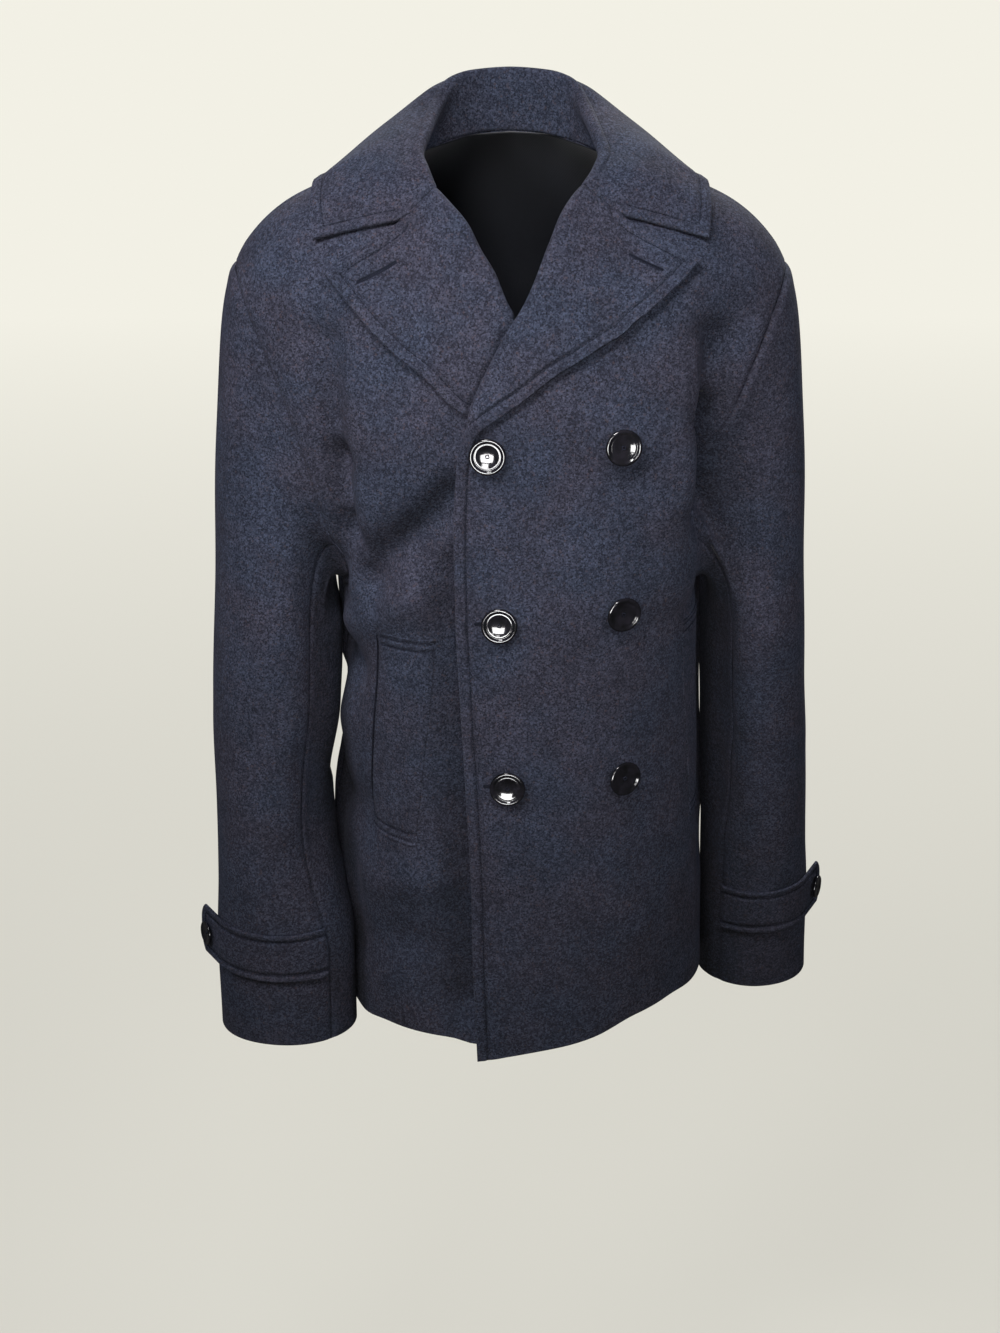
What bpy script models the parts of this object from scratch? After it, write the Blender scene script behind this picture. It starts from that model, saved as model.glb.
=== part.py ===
"""A double-breasted wool pea coat, as it hangs on a wearer, hollow and open at neck, hem and cuffs.

+X is the wearer's left, -Y the front and +Z up. The origin lies midway between the two points where
the shoulder seams meet the neckline, which is where the coat is carried.
"""

import math

import bpy
import numpy as np

# ---------------------------------------------------------------- cloth, in metres
CLOTH = 0.0025
FACING = 0.003
TRIM = 0.0025
SEAM_GAP = 0.0003
LAY_GAP = 0.0009
SHARP_ANGLE = math.radians(40)

# ---------------------------------------------------------------- the body
HEM = -0.722
ARMPIT = -0.345
CHEST = -0.25
FRONT_FULLNESS = 0.23
BACK_FULLNESS = 0.45


def table(names, *rows):
    """A short table as a dictionary of its named columns."""
    return dict(zip(names.split(), np.array(rows, float).T))


# A section of the body is given at its level: the height it would have if the shoulders were level
# at 0. Square is how much fuller than an ellipse it is.
BODY = table(
    "level centre half_width front back square",
    (-0.722, 0.000, 0.1645, 0.1725, 0.165, 0.02),
    (-0.620, 0.000, 0.1610, 0.1660, 0.158, 0.02),
    (-0.500, -0.001, 0.1570, 0.1560, 0.147, 0.04),
    (-0.420, -0.002, 0.1540, 0.1500, 0.139, 0.08),
    (-0.345, -0.003, 0.1530, 0.1455, 0.136, 0.14),
    (-0.330, -0.003, 0.1600, 0.1440, 0.136, 0.18),
    (-0.2825, -0.005, 0.1780, 0.1405, 0.137, 0.22),
    (-0.222, -0.007, 0.2000, 0.1350, 0.137, 0.23),
    (-0.175, -0.008, 0.2120, 0.1320, 0.135, 0.23),
    (-0.092, -0.009, 0.2350, 0.1240, 0.130, 0.23),
    (-0.040, -0.009, 0.2430, 0.1220, 0.127, 0.23),
    (0.000, -0.009, 0.2480, 0.1220, 0.125, 0.23),
)

# The line along the top of the shoulders, padded and rounded at its end.
SHOULDER = table(
    "out z",
    (0.000, 0.048),
    (0.030, 0.041),
    (0.050, 0.026),
    (0.070, 0.012),
    (0.0875, 0.000),
    (0.130, -0.010),
    (0.154, -0.018),
    (0.175, -0.028),
    (0.193, -0.041),
    (0.212, -0.062),
    (0.222, -0.080),
    (0.250, -0.135),
)
NECK_POINT = 0.0875

# The armhole, measured out from the body's centre.
ARMHOLE = table(
    "level out",
    (-0.345, 0.1530),
    (-0.330, 0.1485),
    (-0.280, 0.1545),
    (-0.221, 0.1660),
    (-0.175, 0.1770),
    (-0.102, 0.1975),
    (-0.040, 0.2130),
    (0.000, 0.2210),
)

BACK_NECKLINE = table(
    "out level",
    (0.000, -0.0300),
    (0.030, -0.0258),
    (0.050, -0.0163),
    (0.070, -0.0076),
    (0.0875, 0.0000),
)

# Inner edges of the two fronts: the buttoning edge up to the break, the roll line above it, and
# from the gorge the neckline.
LEFT_FRONT_EDGE = table(
    "level x",
    (-0.7264, -0.0353),
    (-0.6457, -0.0384),
    (-0.5730, -0.0398),
    (-0.5025, -0.0428),
    (-0.3950, -0.0487),
    (-0.3280, -0.0515),
    (-0.2620, -0.0526),
    (-0.2126, -0.0505),
    (-0.1720, -0.0350),
    (-0.1337, -0.0120),
    (-0.1070, 0.0065),
    (-0.0730, 0.0256),
    (-0.0510, 0.0376),
    (-0.0249, 0.0484),
    (-0.0100, 0.0640),
    (0.0000, 0.0785),
)
RIGHT_FRONT_EDGE = table(
    "level x",
    (-0.7220, 0.1100),
    (-0.4500, 0.1120),
    (-0.3300, 0.1080),
    (-0.2500, 0.0960),
    (-0.2050, 0.0720),
    (-0.1720, 0.0400),
    (-0.1400, 0.0100),
    (-0.1108, -0.0150),
    (-0.0905, -0.0253),
    (-0.0750, -0.0370),
    (-0.0563, -0.0515),
    (-0.0249, -0.0690),
    (-0.0100, -0.0820),
    (0.0000, -0.0965),
)

# The hems, by the bearing round the body in degrees from the middle of the front.
LEFT_HEM = table(
    "bearing level",
    (-13, -0.7264),
    (5, -0.7150),
    (22, -0.7070),
    (36, -0.6985),
    (49, -0.6980),
    (64, -0.7050),
    (90, -0.7160),
)
RIGHT_HEM = table(
    "bearing level",
    (-90, -0.7220),
    (-59, -0.7240),
    (-43, -0.7155),
    (-22, -0.7120),
    (-14, -0.7150),
    (5, -0.7080),
    (45, -0.6880),
)
BACK_HEM = table(
    "bearing level",
    (90, -0.7160),
    (180, -0.7200),
    (270, -0.7220),
)

# How far the left front lies outside the right one, cloth to cloth.
OVERLAP_LIFT = table(
    "level lift",
    (-0.722, 0.0045),
    (-0.400, 0.0048),
    (-0.330, 0.0068),
    (-0.230, 0.0080),
    (-0.180, 0.0125),
    (-0.095, 0.0125),
    (-0.055, 0.0060),
    (-0.020, 0.0000),
    (0.000, 0.0000),
)

# The left front keeps its lift to this bearing at least, and this far past the right one's edge.
LEAST_COVERED = 20
COVERED_MARGIN = 4

# The largest folds of the body: a straight line between two places, each a bearing round the body
# and a level, with the fold's width and its height.
FOLDS = table(
    "bearing_0 level_0 bearing_1 level_1 width height",
    (-42, -0.10, -46, -0.24, 0.014, -0.006),
    (48, -0.08, 54, -0.26, 0.016, -0.009),
    (-84, -0.385, -62, -0.400, 0.022, -0.011),
    (-76, -0.460, -64, -0.450, 0.022, 0.005),
    (-92, -0.355, -92, -0.500, 0.030, -0.008),
    (-80, -0.535, -58, -0.530, 0.024, -0.008),
    (-66, -0.600, -66, -0.722, 0.026, -0.005),
)
RIGHT_FRONT_FOLDS = table(
    "bearing_0 level_0 bearing_1 level_1 width height",
    (-18, -0.27, -52, -0.36, 0.024, -0.005),
    (-19, -0.34, -18, -0.60, 0.022, -0.006),
)
FOLD_RADIUS = 0.16

# ---------------------------------------------------------------- lapels and collar
# The free edge of each lapel, from its lower end at the break to its tip.
LEFT_LAPEL = table(
    "along x level",
    (0.000, -0.0327, -0.1852),
    (0.159, -0.0022, -0.1696),
    (0.539, 0.0625, -0.1194),
    (0.669, 0.0825, -0.0997),
    (0.865, 0.1142, -0.0717),
    (1.000, 0.1339, -0.0503),
)
RIGHT_LAPEL = table(
    "along x level",
    (0.000, 0.0380, -0.1860),
    (0.310, -0.0374, -0.1787),
    (0.557, -0.0811, -0.1379),
    (0.763, -0.1165, -0.1024),
    (1.000, -0.1524, -0.0574),
)
NOTCH = {1: (0.0741, -0.0287), -1: (-0.0912, -0.0317)}
NOTCH_STEP = 2
FALL_STEPS = np.array([0.0, 0.15, 0.30, 0.52, 0.76, 1.0])
LAPEL_STANDOFF = 0.0008
STANDOFF_RISE = 3
LAPEL_CROWN = 0.0015
LAPEL_REFINE = 2
ROLL_OUT = CLOTH / 2 + SEAM_GAP + FACING / 2
ROLL_TURN = np.radians([-60, -36, -12, 12, 36, 60])[:, None]

# The collar, by stations from the gorge (0) past the shoulder seam (3) to the middle of the back
# (7). Stand and lean place its roll over the neck seam, and the edge lies out on the body.
COLLAR = table(
    "station stand lean edge_out edge_level edge_lift bulge",
    (0, 0.000, 0.000, 0.1510, -0.0327, 0.0042, 0.000),
    (1, 0.009, -0.005, 0.1545, -0.0107, 0.0060, 0.035),
    (2, 0.018, -0.011, 0.1540, -0.0030, 0.0080, 0.035),
    (3, 0.027, -0.019, 0.1530, -0.0005, 0.0095, 0.035),
    (4, 0.038, -0.007, 0.1480, -0.0150, 0.0085, 0.030),
    (5, 0.046, 0.005, 0.1130, -0.0330, 0.0075, 0.024),
    (6, 0.048, 0.009, 0.0590, -0.0480, 0.0065, 0.018),
    (7, 0.048, 0.010, 0.0000, -0.0610, 0.0060, 0.016),
)
SHOULDER_STATION = 3
COLLAR_REFINE = 3
ROLL_RADIUS = 0.0040
COLLAR_TURN = np.radians([-90, -45, 0, 45, 90])[:, None]

# ---------------------------------------------------------------- sleeves
SLEEVE_TOP = -0.385
SLEEVE_STEP = 0.01
LEFT_SLEEVE = table(
    "z x y half_width half_depth",
    (-0.745, 0.2164, 0.025, 0.0490, 0.047),
    (-0.650, 0.2135, 0.020, 0.0470, 0.052),
    (-0.570, 0.2110, 0.014, 0.0460, 0.057),
    (-0.510, 0.2085, 0.009, 0.0440, 0.061),
    (-0.430, 0.2035, 0.004, 0.0415, 0.068),
    (-0.345, 0.1985, 0.000, 0.0415, 0.075),
)
RIGHT_SLEEVE = table(
    "z x y half_width half_depth",
    (-0.735, -0.2040, -0.090, 0.0585, 0.045),
    (-0.650, -0.2040, -0.080, 0.0580, 0.050),
    (-0.580, -0.2117, -0.069, 0.0500, 0.056),
    (-0.520, -0.2132, -0.058, 0.0480, 0.060),
    (-0.450, -0.2080, -0.045, 0.0530, 0.066),
    (-0.345, -0.2030, -0.024, 0.0530, 0.075),
)
CAP_ROWS = 9
CAP_SPACING = 1.35
ARM_ROWS = 10
# How the cloth leaves the armhole and comes down into the arm: the turn outwards all round and
# more so at the armpit, and the pull of the curve at its two ends.
CAP_TURN = 0.15
ARMPIT_TURN = 1.30
CAP_PULL = 0.045
CAP_PULL_SHARE = 0.20
ARM_PULL_SHARE = 0.90

# Angles of the sleeve's two seams, from the front over the outside to the back.
FRONT_SEAM = -38
BACK_SEAM = 218

# ---------------------------------------------------------------- cuff straps, welts and buttons
STRAP_MIDDLE = {"left": -0.661, "right": -0.650}
STRAP_WIDTH = 0.044
STRAP_LEAVES = 68
STRAP_LOOSE = 0.034
STRAP_ROUNDING = 0.006
STRAP_BUTTON = 0.019
STRAP_LOOSE_COLUMNS = 4
STRAP_ROWS = 4

# The welts' corners, by the bearing round the body; the outer side is the one towards the side seam.
WELT_TOP = -0.3545
WELT_BOTTOM = -0.5405
WELTS = {
    "left": {"inner": (58.0, 63.0), "outer": (76.5, 81.5)},
    "right": {"inner": (-26.7, -33.5), "outer": (-45.5, -52.3)},
}
WELT_GAPE = 0.0025
WELT_ROWS = 9
WELT_COLUMNS = 4

BUTTON_PLACES = table(
    "x level",
    (-0.0266, -0.2029),
    (-0.0174, -0.3321),
    (-0.0109, -0.4724),
    (0.0751, -0.1907),
    (0.0772, -0.3270),
    (0.0801, -0.4730),
)
BUTTON_PROFILE = table(
    "radius height",
    (0.0098, 0.0000),
    (0.0135, 0.0013),
    (0.0145, 0.0026),
    (0.0141, 0.0039),
    (0.0127, 0.0045),
    (0.0111, 0.0040),
    (0.0096, 0.0028),
    (0.0050, 0.0021),
)
BUTTON_SEGMENTS = 20
CUFF_BUTTON_SCALE = 0.72

# ---------------------------------------------------------------- rows and columns of the panels
SKIRT_ROWS = 12
UNDERARM_ROWS = 4
RISE_ROWS = np.radians([0, 18.2, 27.4, 36.6, 45.8, 55.0, 64.2, 73.0, 81.5, 90.0])
GORGE_ROW = 22
FRONT_COLUMNS = 12
NECK_COLUMNS = 4
SHOULDER_COLUMNS = 7


def smooth(at, places, values):
    """Read a table's column at any place, on a smooth curve that never overshoots its rows."""
    step = np.diff(places)
    slope = np.diff(values) / step
    total = slope[:-1] + slope[1:]
    product = np.maximum(slope[:-1] * slope[1:], 0.0)
    inner = np.divide(2 * product, total, out=np.zeros_like(total), where=product > 0)
    tangent = np.concatenate([slope[:1], inner, slope[-1:]])
    at = np.asarray(at, float)
    i = np.clip(np.searchsorted(places, at) - 1, 0, len(places) - 2)
    t = np.clip((at - places[i]) / step[i], 0.0, 1.0)
    start = (1 + 2 * t) * (1 - t) ** 2 * values[i] + t * (1 - t) ** 2 * step[i] * tangent[i]
    end = t * t * (3 - 2 * t) * values[i + 1] + t * t * (t - 1) * step[i] * tangent[i + 1]
    return start + end


def ease(t):
    """Go from 0 to 1 with level ends."""
    t = np.clip(t, 0.0, 1.0)
    return t * t * (3 - 2 * t)


def unit(vectors):
    return vectors / np.linalg.norm(vectors, axis=-1, keepdims=True)


def body_column(name, level):
    return smooth(level, BODY["level"], BODY[name])


def body(side, around, level):
    """Points of the bare body form. Side is -1 for the front and 1 for the back, around the angle
    in degrees from the middle of that side."""
    around, level = np.broadcast_arrays(np.radians(around), level)
    out = body_column("half_width", level) * np.sin(around)
    rise = np.clip((level - CHEST) / -CHEST, 0.0, 1.0)
    shoulder = smooth(np.abs(out), SHOULDER["out"], SHOULDER["z"])
    z = np.where(level < CHEST, level, CHEST + (shoulder - CHEST) * rise)
    if side < 0:
        depth, fullness = body_column("front", level), FRONT_FULLNESS
    else:
        depth, fullness = body_column("back", level), BACK_FULLNESS
    round_off = np.cos(around) * (1 + body_column("square", level) * np.sin(around) ** 2)
    roll_over = np.sqrt(1 - rise**2) * (1 + fullness * rise**2)
    x = body_column("centre", level) + out
    return np.stack([x, side * depth * round_off * roll_over, z], axis=-1)


def body_normal(side, around, level):
    """Outward directions of the body form."""
    turn, climb = 0.2, 0.0001
    level = np.asarray(level, float)
    across = body(side, around + turn, level) - body(side, around - turn, level)
    upper, lower = np.minimum(level + climb, 0.0), level - climb
    along = body(side, around, upper) - body(side, around, lower)
    return unit(-side * np.cross(across, along))


def around_of(x, level):
    """Angle round its side at which the body has this x."""
    reach = (x - body_column("centre", level)) / body_column("half_width", level)
    return np.degrees(np.arcsin(np.clip(reach, -1.0, 1.0)))


def fold_depth(folds, side, around, level):
    """Height of the folds at a place on the body."""
    bearing = around if side < 0 else np.where(around < 0, -180.0, 180.0) - around
    metres = np.radians(1.0) * FOLD_RADIUS
    depth = np.zeros(np.broadcast(bearing, level).shape)
    for b0, l0, b1, l1, width, height in zip(*folds.values()):
        run_b, run_l = (b1 - b0) * metres, l1 - l0
        from_b, from_l = (bearing - b0) * metres, level - l0
        t = np.clip((from_b * run_b + from_l * run_l) / (run_b**2 + run_l**2), 0.0, 1.0)
        square = (from_b - t * run_b) ** 2 + (from_l - t * run_l) ** 2
        depth = depth + height * np.exp(-square / width**2)
    return depth


def armhole_around(level):
    """Angle at which a panel ends: its side seam, and above the armpit the armhole."""
    out = smooth(level, ARMHOLE["level"], ARMHOLE["out"])
    reach = np.clip(out / body_column("half_width", level), 0.0, 1.0)
    return np.where(level <= ARMPIT, 90.0, np.degrees(np.arcsin(reach)))


def on_front(hand, around, level, out=0.0):
    """Points and outward directions on a front's cloth; hand is 1 for the left front, -1 for the
    right one, and out the distance in front of its middle."""
    height = fold_depth(FOLDS, -1, around, level) + out
    if hand > 0:
        lift = smooth(level, OVERLAP_LIFT["level"], OVERLAP_LIFT["lift"])
        covered = around_of(smooth(level, RIGHT_FRONT_EDGE["level"], RIGHT_FRONT_EDGE["x"]), level)
        covered = np.maximum(covered, LEAST_COVERED) + COVERED_MARGIN
        height = height + lift * (1 - ease((around - covered) / (armhole_around(level) - covered)))
    else:
        height = height + fold_depth(RIGHT_FRONT_FOLDS, -1, around, level)
    normal = body_normal(-1, around, level)
    return body(-1, around, level) + normal * height[..., None], normal


def row_levels():
    skirt = np.linspace(HEM, ARMPIT, SKIRT_ROWS + 1)
    underarm = np.linspace(ARMPIT, CHEST, UNDERARM_ROWS + 1)[1:]
    return np.concatenate([skirt, underarm, CHEST * (1 - np.sin(RISE_ROWS[1:]))])


def hang_to(hem, bearing, levels):
    """Stretch the rows of the skirt so that the lowest one follows a hem."""
    fall = np.clip((ARMPIT - levels) / (ARMPIT - HEM), 0.0, 1.0)
    return levels + fall * (smooth(bearing, hem["bearing"], hem["level"]) - HEM)


def front_panel(hand):
    """Mid-cloth points and outward directions of a front, a row for each level from the hem up and
    a column for each step from its inner edge to its side seam and armhole."""
    levels = row_levels()[:, None]
    edge, hem = (LEFT_FRONT_EDGE, LEFT_HEM) if hand > 0 else (RIGHT_FRONT_EDGE, RIGHT_HEM)
    inner = around_of(smooth(levels, edge["level"], edge["x"]), levels)
    outer = hand * armhole_around(levels)
    around = inner + (outer - inner) * np.linspace(0, 1, FRONT_COLUMNS + 1)
    levels = hang_to(hem, around, levels)
    points, normals = on_front(hand, around, levels)
    return points, normals, around, levels


def back_panel():
    """Mid-cloth points and outward directions of the back, its columns from right to left."""
    neck = np.linspace(0, NECK_POINT, NECK_COLUMNS + 1)
    top = smooth(neck, BACK_NECKLINE["out"], BACK_NECKLINE["level"])
    top = np.concatenate([top, np.zeros(SHOULDER_COLUMNS)])
    neck_share = around_of(NECK_POINT + BODY["centre"][-1], 0.0) / armhole_around(0.0)
    at_top = np.concatenate([
        np.linspace(0, neck_share, NECK_COLUMNS + 1),
        np.linspace(neck_share, 1, SHOULDER_COLUMNS + 1)[1:],
    ])
    at_hem = np.linspace(0, 1, NECK_COLUMNS + SHOULDER_COLUMNS + 1)
    levels = row_levels()[:, None]
    rise = np.clip((levels - CHEST) / -CHEST, 0.0, 1.0)
    share = at_hem + (at_top - at_hem) * ease(rise)
    around = armhole_around(levels) * share
    highest = np.arcsin((top - CHEST) / -CHEST)
    climbed = CHEST * (1 - np.sin(highest * np.arcsin(rise) / (math.pi / 2)))
    level = np.where(levels > CHEST, climbed, levels)
    around = np.concatenate([-around[:, :0:-1], around], axis=1)
    level = np.concatenate([level[:, :0:-1], level], axis=1)
    level = hang_to(BACK_HEM, 180 - around, level)
    normal = body_normal(1, around, level)
    height = fold_depth(FOLDS, 1, around, level)
    return body(1, around, level) + normal * height[..., None], normal


# ---------------------------------------------------------------- making solids
def clear_scene():
    for obj in list(bpy.data.objects):
        bpy.data.objects.remove(obj, do_unlink=True)


def make_material(name, colour, roughness):
    material = bpy.data.materials.new(name)
    material.use_nodes = True
    shader = material.node_tree.nodes["Principled BSDF"]
    shader.inputs["Base Color"].default_value = (*colour, 1.0)
    shader.inputs["Roughness"].default_value = roughness
    return material


def make_object(name, points, faces, material):
    mesh = bpy.data.meshes.new(name)
    mesh.from_pydata([tuple(p) for p in points], [], faces)
    mesh.materials.append(material)
    mesh.shade_smooth()
    mesh.set_sharp_from_angle(angle=SHARP_ANGLE)
    obj = bpy.data.objects.new(name, mesh)
    bpy.context.scene.collection.objects.link(obj)
    return obj


def grid_normals(points):
    """Directions square to a grid of points, by the differences of its rows and columns."""
    along = np.gradient(points, axis=0)
    across = np.gradient(points, axis=1)
    return unit(np.cross(across, along))


def inset(points, sides):
    """Draw the named borders of a grid in by half a seam gap, to leave the seam's width."""
    points = points.copy()
    for side in sides:
        edge, inner = {
            "first_row": (np.s_[0], np.s_[1]),
            "last_row": (np.s_[-1], np.s_[-2]),
            "first_column": (np.s_[:, 0], np.s_[:, 1]),
            "last_column": (np.s_[:, -1], np.s_[:, -2]),
        }[side]
        points[edge] += unit(points[inner] - points[edge]) * SEAM_GAP / 2
    return points


def split_quads(quads, points):
    """Triangles of a grid's quads, each cut along its shorter diagonal."""
    a, b, c, d = quads.T
    first = np.linalg.norm(points[a] - points[c], axis=1) <= np.linalg.norm(points[b] - points[d], axis=1)
    one = np.where(first[:, None], np.stack([a, b, c], -1), np.stack([a, b, d], -1))
    two = np.where(first[:, None], np.stack([a, c, d], -1), np.stack([b, c, d], -1))
    return np.concatenate([one, two])


def make_wall(name, points, normals, thickness, material):
    """Turn a grid of mid-cloth points into a closed wall of cloth, with a rim all round. Both faces
    and neighbouring rims are cut along the same diagonals, so that they stay parallel."""
    rows, columns = points.shape[:2]
    middle = points.reshape(-1, 3)
    half = (normals * thickness / 2).reshape(-1, 3)
    index = np.arange(rows * columns).reshape(rows, columns)
    quads = np.stack([index[:-1, :-1], index[:-1, 1:], index[1:, 1:], index[1:, :-1]], axis=-1)
    cloth = split_quads(quads.reshape(-1, 4), middle)
    rim = np.concatenate([index[0, :-1], index[:-1, -1], index[-1, :0:-1], index[:0:-1, 0]])
    following = np.roll(rim, -1)
    step = rows * columns
    ahead = (middle[following, 2] > middle[rim, 2])[:, None]
    one = np.where(
        ahead,
        np.stack([rim, rim + step, following + step], -1),
        np.stack([rim, rim + step, following], -1),
    )
    two = np.where(
        ahead,
        np.stack([rim, following + step, following], -1),
        np.stack([following, rim + step, following + step], -1),
    )
    faces = np.concatenate([cloth, cloth[:, ::-1] + step, one, two])
    corner = middle[cloth]
    across = np.cross(corner[:, 1] - corner[:, 0], corner[:, 2] - corner[:, 0])
    if np.sum(across * half[cloth[:, 0]]) < 0:
        faces = faces[:, ::-1]
    return make_object(name, np.concatenate([middle + half, middle - half]), faces.tolist(), material)


# ---------------------------------------------------------------- sleeves
def armhole_ring(hand, front, back):
    """The armhole's points and directions, from the armpit up the front and down the back."""
    start = SKIRT_ROWS
    column = -1 if hand > 0 else 0
    points = np.concatenate([front[0][start:, -1], back[0][start + 1:-1, column][::-1]])
    normals = np.concatenate([front[1][start:, -1], back[1][start + 1:-1, column][::-1]])
    return points, unit(normals)


def sleeve_section(hand, sleeve, angle, z):
    """A point of a sleeve at an angle round it: -90 next to the body, 0 in front, 90 outside."""
    x, y, half_width, half_depth = (
        smooth(z, sleeve["z"], sleeve[name]) for name in ("x", "y", "half_width", "half_depth")
    )
    angle = np.radians(angle)
    x = x + hand * half_width * np.sin(angle)
    return np.stack(np.broadcast_arrays(x, y - half_depth * np.cos(angle), z), axis=-1)


def sleeve_tube(hand, sleeve, ring, ring_normals):
    """Mid-cloth points and directions of a whole sleeve: a row for each ring from the armhole to
    the cuff, a column for each point of the armhole, and the columns' angles."""
    step = np.linalg.norm(np.roll(ring, -1, 0) - ring, axis=1)
    half = len(ring) // 2
    front = np.concatenate([[0], np.cumsum(step[:half])])
    back = np.concatenate([[0], np.cumsum(step[half:])])
    angle = np.concatenate([-90 + 180 * front / front[-1], 90 + 180 * back[1:-1] / back[-1]])
    away = np.cross(ring_normals, np.roll(ring, -1, 0) - np.roll(ring, 1, 0))
    away = unit(away * np.sign(np.sum(away * (ring.mean(axis=0) - ring), axis=1))[:, None])
    start = ring + away * SEAM_GAP
    inward = (1 - np.sin(np.radians(angle)))[:, None] / 2
    leave = unit(away + np.array([hand, 0.0, 0.0]) * (CAP_TURN + ARMPIT_TURN * inward))
    end = sleeve_section(hand, sleeve, angle, SLEEVE_TOP)
    below = sleeve_section(hand, sleeve, angle, SLEEVE_TOP - SLEEVE_STEP)
    reach = np.linalg.norm(end - start, axis=1)[:, None]
    leave = leave * (CAP_PULL + CAP_PULL_SHARE * reach)
    arrive = unit(below - end) * reach * ARM_PULL_SHARE
    rows = []
    for t in np.linspace(0, 1, CAP_ROWS + 1)[:-1] ** CAP_SPACING:
        point = (1 + 2 * t) * (1 - t) ** 2 * start + t * t * (3 - 2 * t) * end
        rows.append(point + t * (1 - t) ** 2 * leave + t * t * (t - 1) * arrive)
    for z in np.linspace(SLEEVE_TOP, sleeve["z"][0], ARM_ROWS + 1):
        rows.append(sleeve_section(hand, sleeve, angle, z))
    points = np.array(rows)
    wrapped = np.concatenate([points[:, -1:], points, points[:, :1]], axis=1)
    normals = grid_normals(wrapped)[:, 1:-1] * -hand
    normals[0] = ring_normals
    return points, normals, angle


def make_sleeve(side, tube, material):
    """Cut a sleeve's tube at its front and back seams into a top sleeve and an under sleeve."""
    points, normals, angle = tube
    front_seam, back_seam = (np.argmin(np.abs(angle - seam)) for seam in (FRONT_SEAM, BACK_SEAM))
    columns = np.arange(len(angle))
    top = columns[front_seam:back_seam + 1]
    under = np.concatenate([columns[back_seam:], columns[:front_seam + 1]])
    for name, part in (("top_sleeve_", top), ("under_sleeve_", under)):
        cut = inset(points[:, part], ("first_column", "last_column"))
        make_wall(name + side, cut, normals[:, part], CLOTH, material)


# ---------------------------------------------------------------- what lies on the panels
def lay_on(points, normals, row, column, out):
    """Points at places between a panel's rows and columns, moved out from its middle."""
    row, column, out = np.broadcast_arrays(row, column, out)
    i = np.clip(row.astype(int), 0, points.shape[0] - 2)
    j = np.clip(column.astype(int), 0, points.shape[1] - 2)
    v, u = (row - i)[..., None], (column - j)[..., None]

    def between(grid):
        lower = grid[i, j] * (1 - u) + grid[i, j + 1] * u
        upper = grid[i + 1, j] * (1 - u) + grid[i + 1, j + 1] * u
        return lower * (1 - v) + upper * v

    normal = unit(between(normals))
    return between(points) + normal * out[..., None], normal


def make_strap(side, tube, material):
    """A cuff strap, sewn in at the front seam, lying on the sleeve and then going straight on to its
    loose end. Returns the place of its button and that place's outward direction."""
    points, normals, angle = tube
    start = np.argmin(np.abs(angle - FRONT_SEAM))
    last = np.argmin(np.abs(angle - STRAP_LEAVES))
    across = np.linspace(-1, 1, STRAP_ROWS + 1)[:, None]
    ring_step = (SLEEVE_TOP - points[-1, 0, 2]) / ARM_ROWS
    row = CAP_ROWS + (SLEEVE_TOP - STRAP_MIDDLE[side] + STRAP_WIDTH / 2 * across) / ring_step
    column = np.arange(2 * start, 2 * last + 1) / 2
    column[0] += SEAM_GAP
    laid = lay_on(points, normals, row, column, CLOTH / 2 + LAY_GAP + TRIM / 2)[0]
    ahead = unit(laid[:, -1] - laid[:, -2]).mean(axis=0)
    loose = (STRAP_LOOSE - STRAP_ROUNDING * across**4) * np.linspace(0, 1, STRAP_LOOSE_COLUMNS + 1)[1:]
    laid = np.concatenate([laid, laid[:, -1:] + loose[..., None] * ahead], axis=1)
    facing = grid_normals(laid)
    middle = (STRAP_ROWS // 2, len(column))
    facing *= np.sign(np.dot(facing[middle], normals[-1, last]))
    make_wall("cuff_strap_" + side, laid, facing, TRIM, material)
    return laid[STRAP_ROWS // 2, len(column) - 1] + ahead * STRAP_BUTTON, facing[STRAP_ROWS // 2, -2]


def make_welt(side, hand, material):
    """A slanted pocket welt, sewn down at its inner side and its ends, gaping at its outer side."""
    down = np.linspace(0, 1, WELT_ROWS + 1)[:, None]
    across = np.linspace(0, 1, WELT_COLUMNS + 1)
    corners = WELTS[side]["inner"], WELTS[side]["outer"]
    inner, outer = (top + (bottom - top) * down for top, bottom in corners)
    around = inner + (outer - inner) * across
    level = WELT_TOP + (WELT_BOTTOM - WELT_TOP) * down
    gape = WELT_GAPE * np.sin(np.pi * down) * across**2
    points, normals = on_front(hand, around, level, CLOTH / 2 + LAY_GAP + TRIM / 2 + gape)
    make_wall("pocket_welt_" + side, points, normals, TRIM, material)


def make_button(name, place, facing, scale, material):
    """A dished button with a raised rim, its back on the given place."""
    turn = np.linspace(0, 2 * np.pi, BUTTON_SEGMENTS, endpoint=False)
    across = unit(np.cross(facing, [0.0, 0.0, 1.0]))
    upward = np.cross(across, facing)
    spokes = across * np.cos(turn)[:, None] + upward * np.sin(turn)[:, None]
    radius, height = BUTTON_PROFILE["radius"], BUTTON_PROFILE["height"]
    rings = radius[:, None, None] * spokes + height[:, None, None] * facing
    points = (place + scale * rings).reshape(-1, 3)
    index = np.arange(len(points)).reshape(-1, BUTTON_SEGMENTS)
    following = np.roll(index, -1, axis=1)
    sides = np.stack([index[:-1], index[1:], following[1:], following[:-1]], axis=-1).reshape(-1, 4)
    faces = [*sides.tolist(), index[0].tolist(), index[-1][::-1].tolist()]
    make_object(name, points, faces, material)


# ---------------------------------------------------------------- lapels and collar
def refine(values, parts):
    """Put points at even steps on each straight stretch of a row of values."""
    count = len(values) - 1
    at = np.linspace(0, count, count * parts + 1)
    i = np.minimum(at.astype(int), count - 1)
    t = (at - i).reshape(-1, *[1] * (values.ndim - 1))
    return values[i] * (1 - t) + values[i + 1] * t


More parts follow.
